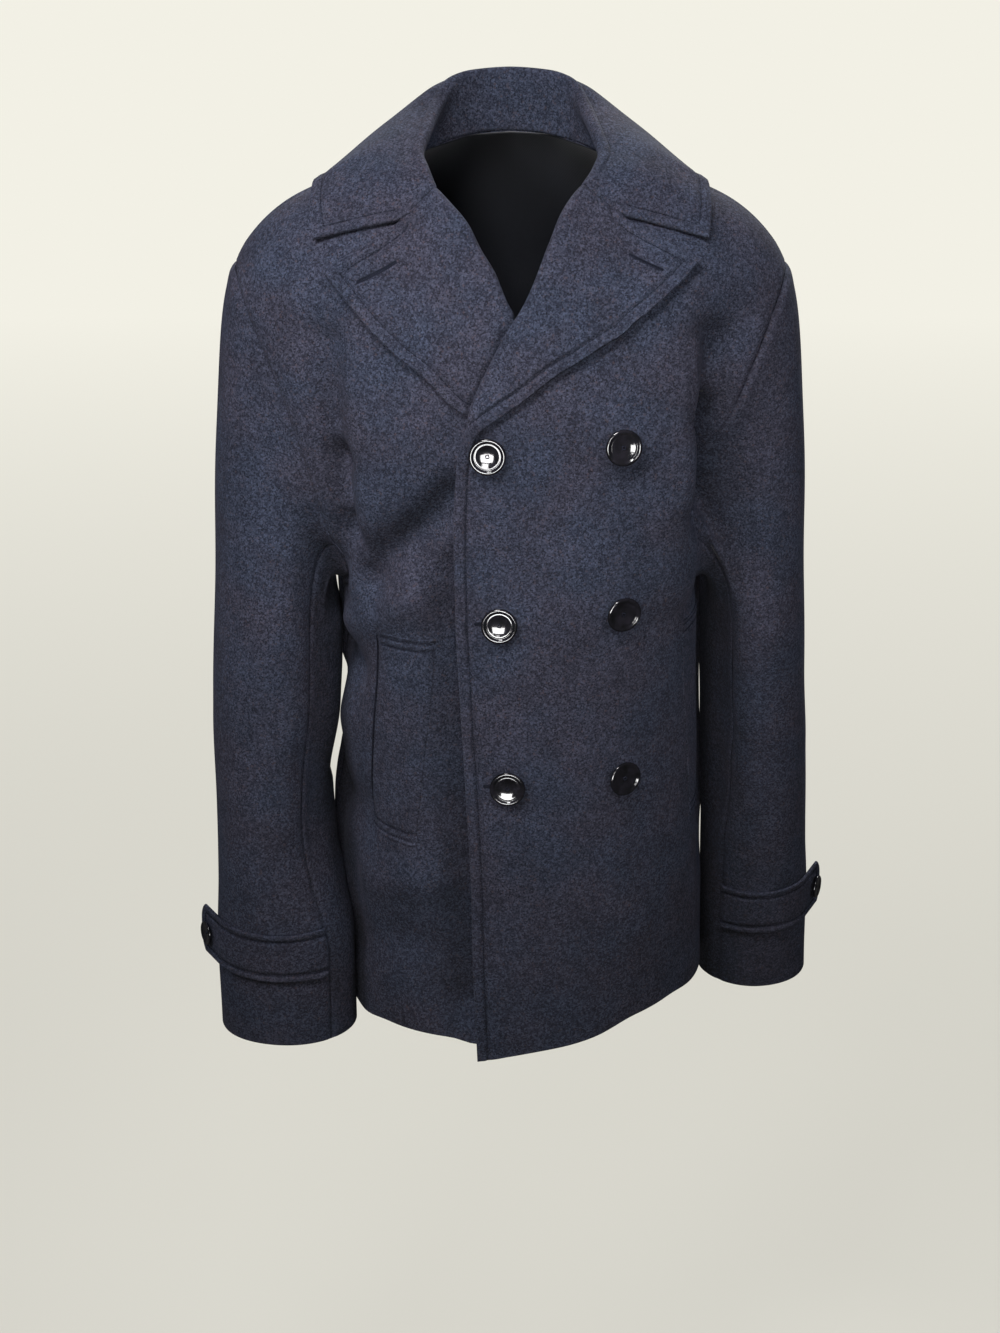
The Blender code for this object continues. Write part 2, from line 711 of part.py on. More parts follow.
def roll_frames(hand, front):
    """For the inner edge of a front above its break: points, outward directions, and directions
    in the cloth that point away from the panel."""
    first = SKIRT_ROWS + UNDERARM_ROWS
    points, normals = front[0][first:, 0], front[1][first:, 0]
    away = unit(np.cross(normals, np.gradient(points, axis=0))) * hand
    return points[1:], normals[1:], away[1:]


def gorge_line(hand, front):
    """Where the collar meets a lapel, from the inside over the roll to the notch: points and
    directions out of the cloth."""
    row = GORGE_ROW - SKIRT_ROWS - UNDERARM_ROWS - 1
    edge, normal, away = (part[row] for part in roll_frames(hand, front))
    x, level = NOTCH[hand]
    spokes = normal * np.sin(ROLL_TURN) + away * np.cos(ROLL_TURN)
    share = (FALL_STEPS[:NOTCH_STEP + 1] / FALL_STEPS[NOTCH_STEP])[:, None]
    inner = edge + ROLL_OUT * normal
    outer, outer_normal = on_front(hand, around_of(x, level), level, ROLL_OUT + LAPEL_STANDOFF)
    points = np.concatenate([edge + ROLL_OUT * spokes, inner + (outer - inner) * share])
    return points, np.concatenate([spokes, unit(normal + (outer_normal - normal) * share)])


def make_lapel(name, hand, front, edge, material):
    """A lapel: its facing lies on the front, rolls over the front's edge and ends inside it."""
    rows = slice(SKIRT_ROWS + UNDERARM_ROWS + 1, GORGE_ROW + 1)
    frames = (part[:rows.stop - rows.start] for part in roll_frames(hand, front))
    points, normals, away = (refine(part, LAPEL_REFINE) for part in frames)
    around = refine(front[2][rows, 0], LAPEL_REFINE)
    level = refine(front[3][rows, 0], LAPEL_REFINE)
    along = np.linspace(0, 1, len(points))
    edge_level = smooth(along, edge["along"], edge["level"])
    edge_around = around_of(smooth(along, edge["along"], edge["x"]), edge_level)
    notch = NOTCH[hand]
    share = (around_of(*notch) - around[-1]) / (edge_around[-1] - around[-1])
    across = np.interp(FALL_STEPS, [0, FALL_STEPS[NOTCH_STEP], 1], [0, share, 1])
    face_around = around[:, None] + (edge_around - around)[:, None] * across
    face_level = level[:, None] + (edge_level - level)[:, None] * across
    face_level[-1, NOTCH_STEP:] = np.interp(across[NOTCH_STEP:], [share, 1], [notch[1], edge_level[-1]])
    lift = ROLL_OUT + LAPEL_STANDOFF * ease(across * STANDOFF_RISE) + LAPEL_CROWN * 4 * across * (1 - across)
    face = on_front(hand, face_around, face_level, lift)[0]
    face += ((points + normals * ROLL_OUT)[:, None] - face[:, :1]) * ((1 - across) ** 2)[:, None]
    spoke = normals[:, None] * np.sin(ROLL_TURN) + away[:, None] * np.cos(ROLL_TURN)
    grid = np.concatenate([points[:, None] + ROLL_OUT * spoke, face], axis=1)
    gorge, gorge_normals = gorge_line(hand, front)
    grid[-1, :len(gorge)] = gorge
    facing = grid_normals(grid) * hand
    facing[-1, :len(gorge)] = gorge_normals
    make_wall(name, inset(grid, ("last_row",)), facing, FACING, material)


def collar_half(hand, front, back):
    """Key stations of one half of the collar, from its gorge to the middle of the back: each a
    row of points from the neck seam over the roll to the free edge."""
    first = GORGE_ROW - SKIRT_ROWS - UNDERARM_ROWS - 1
    points, normals, away = (part[first:] for part in roll_frames(hand, front))
    middle = back[0].shape[1] // 2
    columns = middle + hand * np.arange(NECK_COLUMNS, -1, -1)
    neck, neck_normals = back[0][-1, columns], back[1][-1, columns]
    neck_away = unit(np.cross(np.gradient(neck, axis=0), neck_normals)) * -hand
    points = np.concatenate([points, neck[1:]])
    normals = np.concatenate([normals, neck_normals[1:]])
    away = np.concatenate([away[:-1], unit(away[-1:] + neck_away[:1]), neck_away[1:]])
    rows = []
    for station, stand, lean, out, level, lift, bulge in zip(*COLLAR.values()):
        i = int(station)
        reach = np.degrees(np.arcsin(out / body_column("half_width", level)))
        if i <= SHOULDER_STATION:
            edge = on_front(hand, hand * reach, level, lift)[0]
        else:
            edge = body(1, hand * reach, level) + body_normal(1, hand * reach, level) * lift
        if i == 0:
            gorge = gorge_line(hand, front)[0]
            t = (FALL_STEPS[NOTCH_STEP + 1:, None] - FALL_STEPS[NOTCH_STEP]) / (1 - FALL_STEPS[NOTCH_STEP])
            rows.append(np.concatenate([gorge, gorge[-1] + (edge - gorge[-1]) * t]))
            continue
        seam = points[i] + away[i] * SEAM_GAP
        outward = edge - points[i]
        outward[2] = 0.0
        outward = unit(outward)
        top = seam + outward * lean + np.array([0.0, 0.0, stand])
        up = unit(np.array([0.0, 0.0, 1.0]) + away[i] * (1 - ease(i / SHOULDER_STATION)))
        side = unit(outward - up * np.dot(outward, up))
        rolled = side * np.sin(COLLAR_TURN) + up * np.cos(COLLAR_TURN)
        rolled = top - up * ROLL_RADIUS + ROLL_RADIUS * rolled
        control = rolled[-1] + outward * bulge
        t = FALL_STEPS[1:, None]
        fall = rolled[-1] * (1 - t) ** 2 + control * 2 * t * (1 - t) + edge * t * t
        rows.append(np.concatenate([[seam, (seam + rolled[0]) / 2], rolled, fall]))
    return np.array(rows), normals


def make_collar(front_by_hand, back, material):
    right, right_normals = collar_half(-1, front_by_hand[-1], back)
    left, left_normals = collar_half(1, front_by_hand[1], back)
    keys = np.concatenate([right, left[-2::-1]])
    seam_normals = np.concatenate([right_normals, left_normals[-2::-1]])
    places = np.arange(len(keys), dtype=float)
    at = np.linspace(0, places[-1], (len(keys) - 1) * COLLAR_REFINE + 1)
    flat = keys.reshape(len(keys), -1)
    grid = np.stack([smooth(at, places, flat[:, k]) for k in range(flat.shape[1])], axis=-1)
    grid = grid.reshape(len(at), -1, 3)
    grid[:, 0] = refine(keys[:, 0], COLLAR_REFINE)
    grid = grid.transpose(1, 0, 2)
    facing = grid_normals(grid)
    facing *= np.sign(facing[-1, len(at) // 2, 1])
    facing[0] = -unit(refine(seam_normals, COLLAR_REFINE))
    for column, hand in ((0, -1), (-1, 1)):
        gorge_normals = gorge_line(hand, front_by_hand[hand])[1]
        facing[:len(gorge_normals), column] = gorge_normals
    make_wall("collar", inset(grid, ("first_column", "last_column")), facing, FACING, material)


# ---------------------------------------------------------------- the coat
clear_scene()
wool = make_material("wool_melton", (0.045, 0.048, 0.072), 0.9)
wool_facing = make_material("wool_facing", (0.05, 0.055, 0.08), 0.9)
horn = make_material("button_resin", (0.01, 0.01, 0.012), 0.2)

fronts = {1: front_panel(1), -1: front_panel(-1)}
back = back_panel()
for side, hand in (("left", 1), ("right", -1)):
    points, normals = fronts[hand][:2]
    make_wall("front_" + side, inset(points, ("last_column", "last_row")), normals, CLOTH, wool)
back_points = inset(back[0], ("first_column", "last_column", "last_row"))
make_wall("back", back_points, back[1], CLOTH, wool)
make_lapel("lapel_left", 1, fronts[1], LEFT_LAPEL, wool_facing)
make_lapel("lapel_right", -1, fronts[-1], RIGHT_LAPEL, wool_facing)
make_collar(fronts, back, wool_facing)

for side, hand, sleeve in (("left", 1, LEFT_SLEEVE), ("right", -1, RIGHT_SLEEVE)):
    ring, ring_normals = armhole_ring(hand, fronts[hand], back)
    tube = sleeve_tube(hand, sleeve, ring, ring_normals)
    make_sleeve(side, tube, wool)
    place, facing = make_strap(side, tube, wool)
    place = place + facing * (TRIM / 2 + SEAM_GAP)
    make_button("button_cuff_" + side, place, facing, CUFF_BUTTON_SCALE, horn)
    make_welt(side, hand, wool)

for number, (x, level) in enumerate(zip(*BUTTON_PLACES.values()), start=1):
    place, facing = on_front(1, around_of(x, level), level, CLOTH / 2 + SEAM_GAP)
    make_button("button_" + str(number), place, facing, 1.0, horn)
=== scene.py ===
"""A double-breasted wool pea coat: its cloth, its sewing and its buttons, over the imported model.

Metres; +X is the wearer's left, -Y the front and +Z up. The origin lies midway between the points
where the shoulder seams meet the neckline, which is where the coat is carried.
"""
import math

import bpy
import numpy as np
from mathutils import Matrix, Vector


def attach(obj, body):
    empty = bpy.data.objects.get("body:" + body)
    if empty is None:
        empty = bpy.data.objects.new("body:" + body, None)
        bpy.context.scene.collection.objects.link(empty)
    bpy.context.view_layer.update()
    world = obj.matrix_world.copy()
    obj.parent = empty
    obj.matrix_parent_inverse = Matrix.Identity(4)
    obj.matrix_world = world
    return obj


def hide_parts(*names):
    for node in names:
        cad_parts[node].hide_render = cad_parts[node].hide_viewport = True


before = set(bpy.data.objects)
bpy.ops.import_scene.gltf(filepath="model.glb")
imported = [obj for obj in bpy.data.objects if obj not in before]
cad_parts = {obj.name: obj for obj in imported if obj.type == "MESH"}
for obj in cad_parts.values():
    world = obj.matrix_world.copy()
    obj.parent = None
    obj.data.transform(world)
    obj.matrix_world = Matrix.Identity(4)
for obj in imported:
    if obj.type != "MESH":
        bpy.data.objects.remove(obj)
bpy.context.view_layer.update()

# ---------------------------------------------------------------- the back
# One piece of heavy wool melton from the neckline to the hem, lined, and shaped over the
# shoulders with the iron. The felted cloth is thick, so its seams fall in as soft grooves.

CLOTH = 0.0025
HEM = -0.722
ARMPIT = -0.345
CHEST = -0.25
FRONT_FULLNESS = 0.23
BACK_FULLNESS = 0.45


def table(names, *rows):
    """A short table as a dictionary of its named columns."""
    return dict(zip(names.split(), np.array(rows, float).T))


# A section of the body is given at its level: the height it would have if the shoulders were level
# at 0. Square is how much fuller than an ellipse it is.
BODY = table(
    "level centre half_width front back square",
    (-0.722, 0.000, 0.1645, 0.1725, 0.165, 0.02),
    (-0.620, 0.000, 0.1610, 0.1660, 0.158, 0.02),
    (-0.500, -0.001, 0.1570, 0.1560, 0.147, 0.04),
    (-0.420, -0.002, 0.1540, 0.1500, 0.139, 0.08),
    (-0.345, -0.003, 0.1530, 0.1455, 0.136, 0.14),
    (-0.330, -0.003, 0.1600, 0.1440, 0.136, 0.18),
    (-0.2825, -0.005, 0.1780, 0.1405, 0.137, 0.22),
    (-0.222, -0.007, 0.2000, 0.1350, 0.137, 0.23),
    (-0.175, -0.008, 0.2120, 0.1320, 0.135, 0.23),
    (-0.092, -0.009, 0.2350, 0.1240, 0.130, 0.23),
    (-0.040, -0.009, 0.2430, 0.1220, 0.127, 0.23),
    (0.000, -0.009, 0.2480, 0.1220, 0.125, 0.23),
)
SHOULDER = table(
    "out z",
    (0.000, 0.048),
    (0.030, 0.041),
    (0.050, 0.026),
    (0.070, 0.012),
    (0.0875, 0.000),
    (0.130, -0.010),
    (0.154, -0.018),
    (0.175, -0.028),
    (0.193, -0.041),
    (0.212, -0.062),
    (0.222, -0.080),
    (0.250, -0.135),
)
ARMHOLE = table(
    "level out",
    (-0.345, 0.1530),
    (-0.330, 0.1485),
    (-0.280, 0.1545),
    (-0.221, 0.1660),
    (-0.175, 0.1770),
    (-0.102, 0.1975),
    (-0.040, 0.2130),
    (0.000, 0.2210),
)
NECK_POINT = 0.0875
BACK_NECKLINE = table(
    "out level",
    (0.000, -0.0300),
    (0.030, -0.0258),
    (0.050, -0.0163),
    (0.070, -0.0076),
    (0.0875, 0.0000),
)
NECK_SHARE = 4 / 11
BACK_HEM = table("bearing level", (90, -0.7160), (180, -0.7200), (270, -0.7220))

# Folds of the body, each along a straight line between two places: a bearing round the body in
# degrees from the middle of the front, and a level. The first seven are the solids' own.
FOLDS = table(
    "bearing_0 level_0 bearing_1 level_1 width height",
    (-42, -0.10, -46, -0.24, 0.014, -0.006),
    (48, -0.08, 54, -0.26, 0.016, -0.009),
    (-84, -0.385, -62, -0.400, 0.022, -0.011),
    (-76, -0.460, -64, -0.450, 0.022, 0.005),
    (-92, -0.355, -92, -0.500, 0.030, -0.008),
    (-80, -0.535, -58, -0.530, 0.024, -0.008),
    (-66, -0.600, -66, -0.722, 0.026, -0.005),
    (128, -0.12, 122, -0.30, 0.016, -0.004),
    (-130, -0.11, -122, -0.31, 0.018, -0.005),
    (160, -0.40, 172, -0.66, 0.022, -0.003),
    (-152, -0.42, -164, -0.70, 0.024, -0.003),
    (176, -0.16, 206, -0.25, 0.020, -0.002),
    (112, -0.42, 118, -0.70, 0.024, -0.003),
    (-38, -0.11, -44, -0.21, 0.012, -0.010),
    (-44, -0.21, -50, -0.275, 0.013, -0.015),
    (-50, -0.275, -70, -0.335, 0.014, -0.012),
    (43, -0.100, 48, -0.17, 0.012, -0.021),
    (48, -0.17, 57, -0.245, 0.014, -0.026),
    (57, -0.245, 72, -0.320, 0.014, -0.020),
    (36, -0.12, 43, -0.24, 0.010, 0.005),
    (27, -0.22, 41, -0.35, 0.012, -0.0022),
    (-97, -0.355, -97, -0.415, 0.022, 0.0085),
    (-90, -0.455, -90, -0.480, 0.018, -0.0050),
    (-97, -0.515, -97, -0.600, 0.026, 0.0055),
    (97, -0.340, 97, -0.560, 0.026, 0.0032),
    (-80, -0.350, -80, -0.600, 0.018, -0.0040),
    (80, -0.330, 80, -0.600, 0.018, -0.0040),
)
FOLD_RADIUS = 0.16

# The slight waves of heavy cloth: how many go round the body, how fast they turn as they climb,
# their share of the ripple's height and where they start. They die out at the shoulder.
WAVES = (
    (5, 19, 1.0, 1.0),
    (8, -31, 0.8, 2.2),
    (13, 12, 0.7, 0.4),
    (7, 55, 0.6, 0.0),
)
RIPPLE = 0.0004
RIPPLE_FADE = 0.08

# The cloth's edges: how far a rounded edge is drawn in, and the groove of a seam.
ROUNDING = 0.8
RIM_ANGLES = np.radians([45, 0, -45])
LEAST_WEIGHT = 0.001
SEAM_DIP = 0.0020
SEAM_WIDTH = 0.0023
SKIRT_ROWS = 74
UNDERARM_ROWS = 19
RISE_ROWS = 58
EDGE_ROWS = np.array([0.0, 0.0015, 0.0035])
SEAM_STEPS = np.array([0.0, 0.0011, 0.0023, 0.0040, 0.0062, 0.0092])
NECK_COLUMNS = 17
BACK_COLUMNS = 44
SIDES = {
    "first_row": np.s_[0],
    "last_row": np.s_[-1],
    "first_column": np.s_[:, 0],
    "last_column": np.s_[:, -1],
}


def smooth(at, places, values):
    """Read a table's column at any place, on a smooth curve that never overshoots its rows."""
    step = np.diff(places)
    slope = np.diff(values) / step
    total = slope[:-1] + slope[1:]
    product = np.maximum(slope[:-1] * slope[1:], 0.0)
    inner = np.divide(2 * product, total, out=np.zeros_like(total), where=product > 0)
    tangent = np.concatenate([slope[:1], inner, slope[-1:]])
    at = np.asarray(at, float)
    i = np.clip(np.searchsorted(places, at) - 1, 0, len(places) - 2)
    t = np.clip((at - places[i]) / step[i], 0.0, 1.0)
    start = (1 + 2 * t) * (1 - t) ** 2 * values[i] + t * (1 - t) ** 2 * step[i] * tangent[i]
    end = t * t * (3 - 2 * t) * values[i + 1] + t * t * (t - 1) * step[i] * tangent[i + 1]
    return start + end


def ease(t):
    """Go from 0 to 1 with level ends."""
    t = np.clip(t, 0.0, 1.0)
    return t * t * (3 - 2 * t)


def hump(t):
    """A soft hump or groove: 1 in its middle, fading to both sides."""
    return np.exp(-(t**2))


def between(start, end, share):
    """The values a share of the way from the start's to the end's."""
    return start + (end - start) * share


def unit(vectors):
    return vectors / np.maximum(np.linalg.norm(vectors, axis=-1, keepdims=True), 1e-12)


def body_column(name, level):
    return smooth(level, BODY["level"], BODY[name])


def body(side, around, level):
    """Points of the bare body form. Side is -1 for the front and 1 for the back, around the angle
    in degrees from the middle of that side."""
    around, level = np.broadcast_arrays(np.radians(around), level)
    out = body_column("half_width", level) * np.sin(around)
    rise = np.clip((level - CHEST) / -CHEST, 0.0, 1.0)
    shoulder = smooth(np.abs(out), SHOULDER["out"], SHOULDER["z"])
    z = np.where(level < CHEST, level, between(CHEST, shoulder, rise))
    if side < 0:
        depth, fullness = body_column("front", level), FRONT_FULLNESS
    else:
        depth, fullness = body_column("back", level), BACK_FULLNESS
    round_off = np.cos(around) * (1 + body_column("square", level) * np.sin(around) ** 2)
    roll_over = np.sqrt(1 - rise**2) * (1 + fullness * rise**2)
    x = body_column("centre", level) + out
    return np.stack([x, side * depth * round_off * roll_over, z], axis=-1)


def body_normal(side, around, level):
    """Outward directions of the body form."""
    turn, climb = 0.2, 0.0001
    level = np.asarray(level, float)
    across = body(side, around + turn, level) - body(side, around - turn, level)
    upper, lower = np.minimum(level + climb, 0.0), level - climb
    along = body(side, around, upper) - body(side, around, lower)
    return unit(-side * np.cross(across, along))


def around_of(x, level):
    """Angle round its side at which the body has this x."""
    reach = (x - body_column("centre", level)) / body_column("half_width", level)
    return np.degrees(np.arcsin(np.clip(reach, -1.0, 1.0)))


def armhole_around(level):
    """Angle at which a panel ends: its side seam, and above the armpit the armhole."""
    out = smooth(level, ARMHOLE["level"], ARMHOLE["out"])
    reach = np.clip(out / body_column("half_width", level), 0.0, 1.0)
    return np.where(level <= ARMPIT, 90.0, np.degrees(np.arcsin(reach)))


def fold_depth(folds, bearing, level, radius):
    """Height of some folds at a place, on a form of about this radius."""
    metres = np.radians(1.0) * radius
    depth = np.zeros(np.broadcast(bearing, level).shape)
    for b0, l0, b1, l1, width, height in zip(*folds.values()):
        run_b, run_l = (b1 - b0) * metres, l1 - l0
        from_b, from_l = (bearing - b0) * metres, level - l0
        t = np.clip((from_b * run_b + from_l * run_l) / (run_b**2 + run_l**2), 0.0, 1.0)
        square = (from_b - t * run_b) ** 2 + (from_l - t * run_l) ** 2
        depth = depth + height * np.exp(-square / width**2)
    return depth


def ripple(waves, degrees, level):
    """Sum of some waves at a place."""
    turn = np.radians(degrees)
    return sum(
        share * np.sin(around * turn + climb * level + start)
        for around, climb, share, start in waves
    )


def drape(side, around, level):
    """Height of the cloth over the body form: its folds and its waves."""
    bearing = around if side < 0 else np.where(around < 0, -180.0, 180.0) - around
    folds = fold_depth(FOLDS, bearing, level, FOLD_RADIUS)
    return folds + RIPPLE * ripple(WAVES, bearing, level) * ease(-level / RIPPLE_FADE)


def row_levels():
    """Levels of a panel's rows, closer at the hem for its rounded edge."""
    skirt = np.concatenate([HEM + EDGE_ROWS, np.linspace(HEM, ARMPIT, SKIRT_ROWS + 1)[2:]])
    underarm = np.linspace(ARMPIT, CHEST, UNDERARM_ROWS + 1)[1:]
    rise = np.linspace(0, np.pi / 2, RISE_ROWS + 1)[1:]
    return np.concatenate([skirt, underarm, CHEST * (1 - np.sin(rise))])


LEVELS = row_levels()
ARMPIT_ROW = int(np.argmin(np.abs(LEVELS - ARMPIT)))


def hang_to(hem, bearing, levels):
    """Stretch the rows of the skirt so that the lowest one follows a hem."""
    fall = np.clip((ARMPIT - levels) / (ARMPIT - HEM), 0.0, 1.0)
    return levels + fall * (smooth(bearing, hem["bearing"], hem["level"]) - HEM)


def back_panel():
    """Mid-cloth points and outward directions of the back, its columns from right to left."""
    half_width = math.pi / 2 * FOLD_RADIUS
    seam = 1 - SEAM_STEPS[::-1] / half_width
    at_hem = np.concatenate([
        np.linspace(0, NECK_SHARE, NECK_COLUMNS),
        np.linspace(NECK_SHARE, seam[0], BACK_COLUMNS - NECK_COLUMNS + 2)[1:-1],
        seam,
    ])
    neck_around = around_of(NECK_POINT + BODY["centre"][-1], 0.0) / armhole_around(0.0)
    at_top = np.interp(at_hem, [0, NECK_SHARE, 1], [0, neck_around, 1])
    neck = NECK_POINT * at_hem / NECK_SHARE
    neckline = smooth(neck, BACK_NECKLINE["out"], BACK_NECKLINE["level"])
    top = np.where(neck < NECK_POINT, neckline, 0.0)
    levels = LEVELS[:, None]
    rise = np.clip((levels - CHEST) / -CHEST, 0.0, 1.0)
    around = armhole_around(levels) * between(at_hem, at_top, ease(rise))
    highest = np.arcsin((top - CHEST) / -CHEST)
    climbed = CHEST * (1 - np.sin(highest * np.arcsin(rise) / (math.pi / 2)))
    level = np.where(levels > CHEST, climbed, levels)
    around = np.concatenate([-around[:, :0:-1], around], axis=1)
    level = np.concatenate([level[:, :0:-1], level], axis=1)
    level = hang_to(BACK_HEM, 180 - around, level)
    normal = body_normal(1, around, level)
    return body(1, around, level) + normal * drape(1, around, level)[..., None], normal


def distance_to(line, points):
    """Shortest distances from points to a line of points."""
    least = np.full(points.shape[:-1], np.inf)
    for start, end in zip(line[:-1], line[1:]):
        run = end - start
        t = np.clip((points - start) @ run / max(run @ run, 1e-12), 0.0, 1.0)
        least = np.minimum(least, np.linalg.norm(points - start - t[..., None] * run, axis=-1))
    return least


def seam_dip(points, sides):
    """Height of the outer face beside its seams, which pull it in."""
    least = np.min([distance_to(points[SIDES[side]], points) for side in sides], axis=0)
    return -SEAM_DIP * hump(least / SEAM_WIDTH)


def lengths_along(points, axis):
    """Length of cloth from the first row or column to each point."""
    step = np.linalg.norm(np.diff(points, axis=axis), axis=-1)
    return np.insert(np.cumsum(step, axis=axis), 0, 0.0, axis=axis)


def border(rows, columns):
    """Indices of a grid's border, all round it."""
    index = np.arange(rows * columns).reshape(rows, columns)
    return np.concatenate([index[0, :-1], index[:-1, -1], index[-1, :0:-1], index[:0:-1, 0]])


def border_outward(points, normals, rounded):
    """Directions in the cloth that point out of a grid, all round its border."""
    rows, columns = points.shape[:2]
    rim = border(rows, columns)
    line, normal = points.reshape(-1, 3)[rim], normals.reshape(-1, 3)[rim]
    # A corner follows its rounded side: the flat one hardly counts.
    ahead, behind = (
        run * np.maximum(neighbour, LEAST_WEIGHT)[:, None] for run, neighbour in (
            (np.roll(line, -1, 0) - line, np.roll(rounded, -1)),
            (line - np.roll(line, 1, 0), np.roll(rounded, 1)),
        )
    )
    out = unit(np.cross(ahead + behind, normal))
    inside = points[np.clip(rim // columns, 1, rows - 2), np.clip(rim % columns, 1, columns - 2)]
    return out * np.sign(np.sum(out * (line - inside)))


def make_cloth(name, points, normals, thickness, free, relief, materials, inner_material=0):
    """Cloth from a grid of mid-cloth points: an outer face with its relief, an inner face, and a
    rim that is rounded on the free sides and flat at the seams."""
    rows, columns = points.shape[:2]
    half = np.broadcast_to(thickness / 2, (rows, columns)).reshape(-1, 1)
    relief = np.broadcast_to(relief, (rows, columns)).reshape(-1, 1)
    rim = border(rows, columns)
    rounded = np.zeros((rows, columns))
    for side in free:
        rounded[SIDES[side]] = 1.0
    rounded = rounded.reshape(-1)[rim]
    out = border_outward(points, normals, rounded) * rounded[:, None]
    middle, normal = points.reshape(-1, 3).copy(), normals.reshape(-1, 3)
    middle[rim] -= out * half[rim] * ROUNDING
    layers = [middle + normal * (half + relief), middle - normal * half]
    for angle in RIM_ANGLES:
        height = (half[rim] + relief[rim] * (angle > 0)) * math.sin(angle)
        layers.append(middle[rim] + out * half[rim] * math.cos(angle) + normal[rim] * height)
    index = np.arange(rows * columns).reshape(rows, columns)
    quads = np.stack([index[:-1, :-1], index[:-1, 1:], index[1:, 1:], index[1:, :-1]], axis=-1)
    quads = quads.reshape(-1, 4)
    step, round_step = rows * columns, len(rim)
    turn = np.arange(round_step)
    rounds = [2 * step + k * round_step + turn for k in range(len(RIM_ANGLES))]
    chain = [rim, *rounds, rim + step]
    faces = [quads, quads[:, ::-1] + step]
    for near, far in zip(chain[:-1], chain[1:]):
        faces.append(np.stack([near, far, np.roll(far, -1), np.roll(near, -1)], axis=-1))
    faces = np.concatenate(faces)
    corner = layers[0][quads]
    across = np.cross(corner[:, 2] - corner[:, 0], corner[:, 3] - corner[:, 1])
    if np.sum(across * normal[quads[:, 0]]) < 0:
        faces = faces[:, ::-1]
    mesh = bpy.data.meshes.new(name)
    mesh.from_pydata(np.concatenate(layers).tolist(), [], faces.tolist())
    place = np.stack([lengths_along(points, 1), lengths_along(points, 0)], axis=-1).reshape(-1, 2)
    place = np.concatenate([place, place, *[place[rim]] * len(RIM_ANGLES)])
    corners = np.zeros(len(mesh.loops), dtype=np.int32)
    mesh.loops.foreach_get("vertex_index", corners)
    mesh.uv_layers.new(name="cloth").data.foreach_set("uv", place[corners].ravel())
    for material in materials:
        mesh.materials.append(material)
    of_face = np.zeros(len(faces), dtype=np.int32)
    inner = np.broadcast_to(inner_material, (rows - 1, columns - 1))
    of_face[len(quads):2 * len(quads)] = inner.ravel()
    mesh.polygons.foreach_set("material_index", of_face)
    mesh.shade_smooth()
    mesh.update()
    piece = bpy.data.objects.new(name, mesh)
    bpy.context.scene.collection.objects.link(piece)
    return piece


def hex_colour(code, alpha=1.0):
    """An sRGB colour such as "1f2430" as the linear colour that a shader takes."""
    parts = [int(code[i:i + 2], 16) / 255 for i in (0, 2, 4)]
    return (*[c / 12.92 if c <= 0.04045 else ((c + 0.055) / 1.055) ** 2.4 for c in parts], alpha)


def add_node(material, kind, settings, links):
    """Add a node with its settings (properties, inputs or a ramp's stops) and its links."""
    node = material.node_tree.nodes.new(kind)
    for name, value in settings.items():
        if name == "stops":
            ramp = node.color_ramp.elements
            while len(ramp) < len(value):
                ramp.new(1.0)
            for stop, (place, colour) in zip(ramp, value):
                stop.position = place
                stop.color = hex_colour(colour) if isinstance(colour, str) else colour
        elif isinstance(name, int) or name in node.inputs:
            node.inputs[name].default_value = value
        else:
            setattr(node, name, value)
    for name, output in links.items():
        material.node_tree.links.new(output, node.inputs[name])
    return node


def start_material(name, settings):
    """A material with its main shader's constants set."""
    material = bpy.data.materials.new(name)
    material.use_nodes = True
    shader = material.node_tree.nodes["Principled BSDF"]
    for socket, value in settings.items():
        shader.inputs[socket].default_value = value
    return material, shader


def link(material, shader, **outputs):
    """Lead outputs into the shader's sockets."""
    for socket, output in outputs.items():
        material.node_tree.links.new(output, shader.inputs[socket.replace("_", " ")])


# Wool melton: woven of mixed dark fibres, then milled until the weave is hidden and the surface
# is a short felted nap. The eye sees a matt dark heather of navy, slate and a few brown fibres.
# Real fibres are 0.03 mm thick; the flecks are drawn at 0.9 to 1.5 mm, as tufts of fibres show.
FLECK = 1.45
STRAY = 0.6 * FLECK
DARK, NAVY, SLATE, BROWN = "0e0f15", "1a1b24", "343744", "33292a"
MILLIMETRES = (1000, 1000, 1000)

wool, wool_shader = start_material("wool_melton", {
    "Roughness": 0.95,
    "Specular IOR Level": 0.08,
    "Sheen Weight": 0.02,
    "Sheen Roughness": 0.6,
    "Sheen Tint": hex_colour("8a8fb0"),
})
wool_place = add_node(wool, "ShaderNodeTexCoord", {}, {}).outputs["Object"]
grain, other = (
    add_node(
        wool, "ShaderNodeMapping",
        {"Location": shift, "Rotation": (0.0, 0.0, turn), "Scale": MILLIMETRES},
        {"Vector": wool_place},
    ).outputs["Vector"]
    for shift, turn in (((0.0, 0.0, 0.0), 0.0), ((37.0, 91.0, 0.0), 0.6))
)
tufts, strays = (
    add_node(wool, "ShaderNodeTexVoronoi", {"Scale": 1 / size}, {"Vector": vector}).outputs["Color"]
    for size, vector in ((FLECK, grain), (STRAY, other))
)
tuft_shade, stray_shade = (
    add_node(wool, "ShaderNodeValToRGB", {"stops": stops}, {"Fac": value}).outputs["Color"]
    for value, stops in (
        (tufts, [(0.10, DARK), (0.45, NAVY), (0.80, SLATE), (0.93, BROWN)]),
        (strays, [(0.15, DARK), (0.5, NAVY), (0.9, SLATE)]),
    )
)
mixed = add_node(
    wool, "ShaderNodeMix", {"data_type": "RGBA", 0: 0.45}, {6: tuft_shade, 7: stray_shade},
)
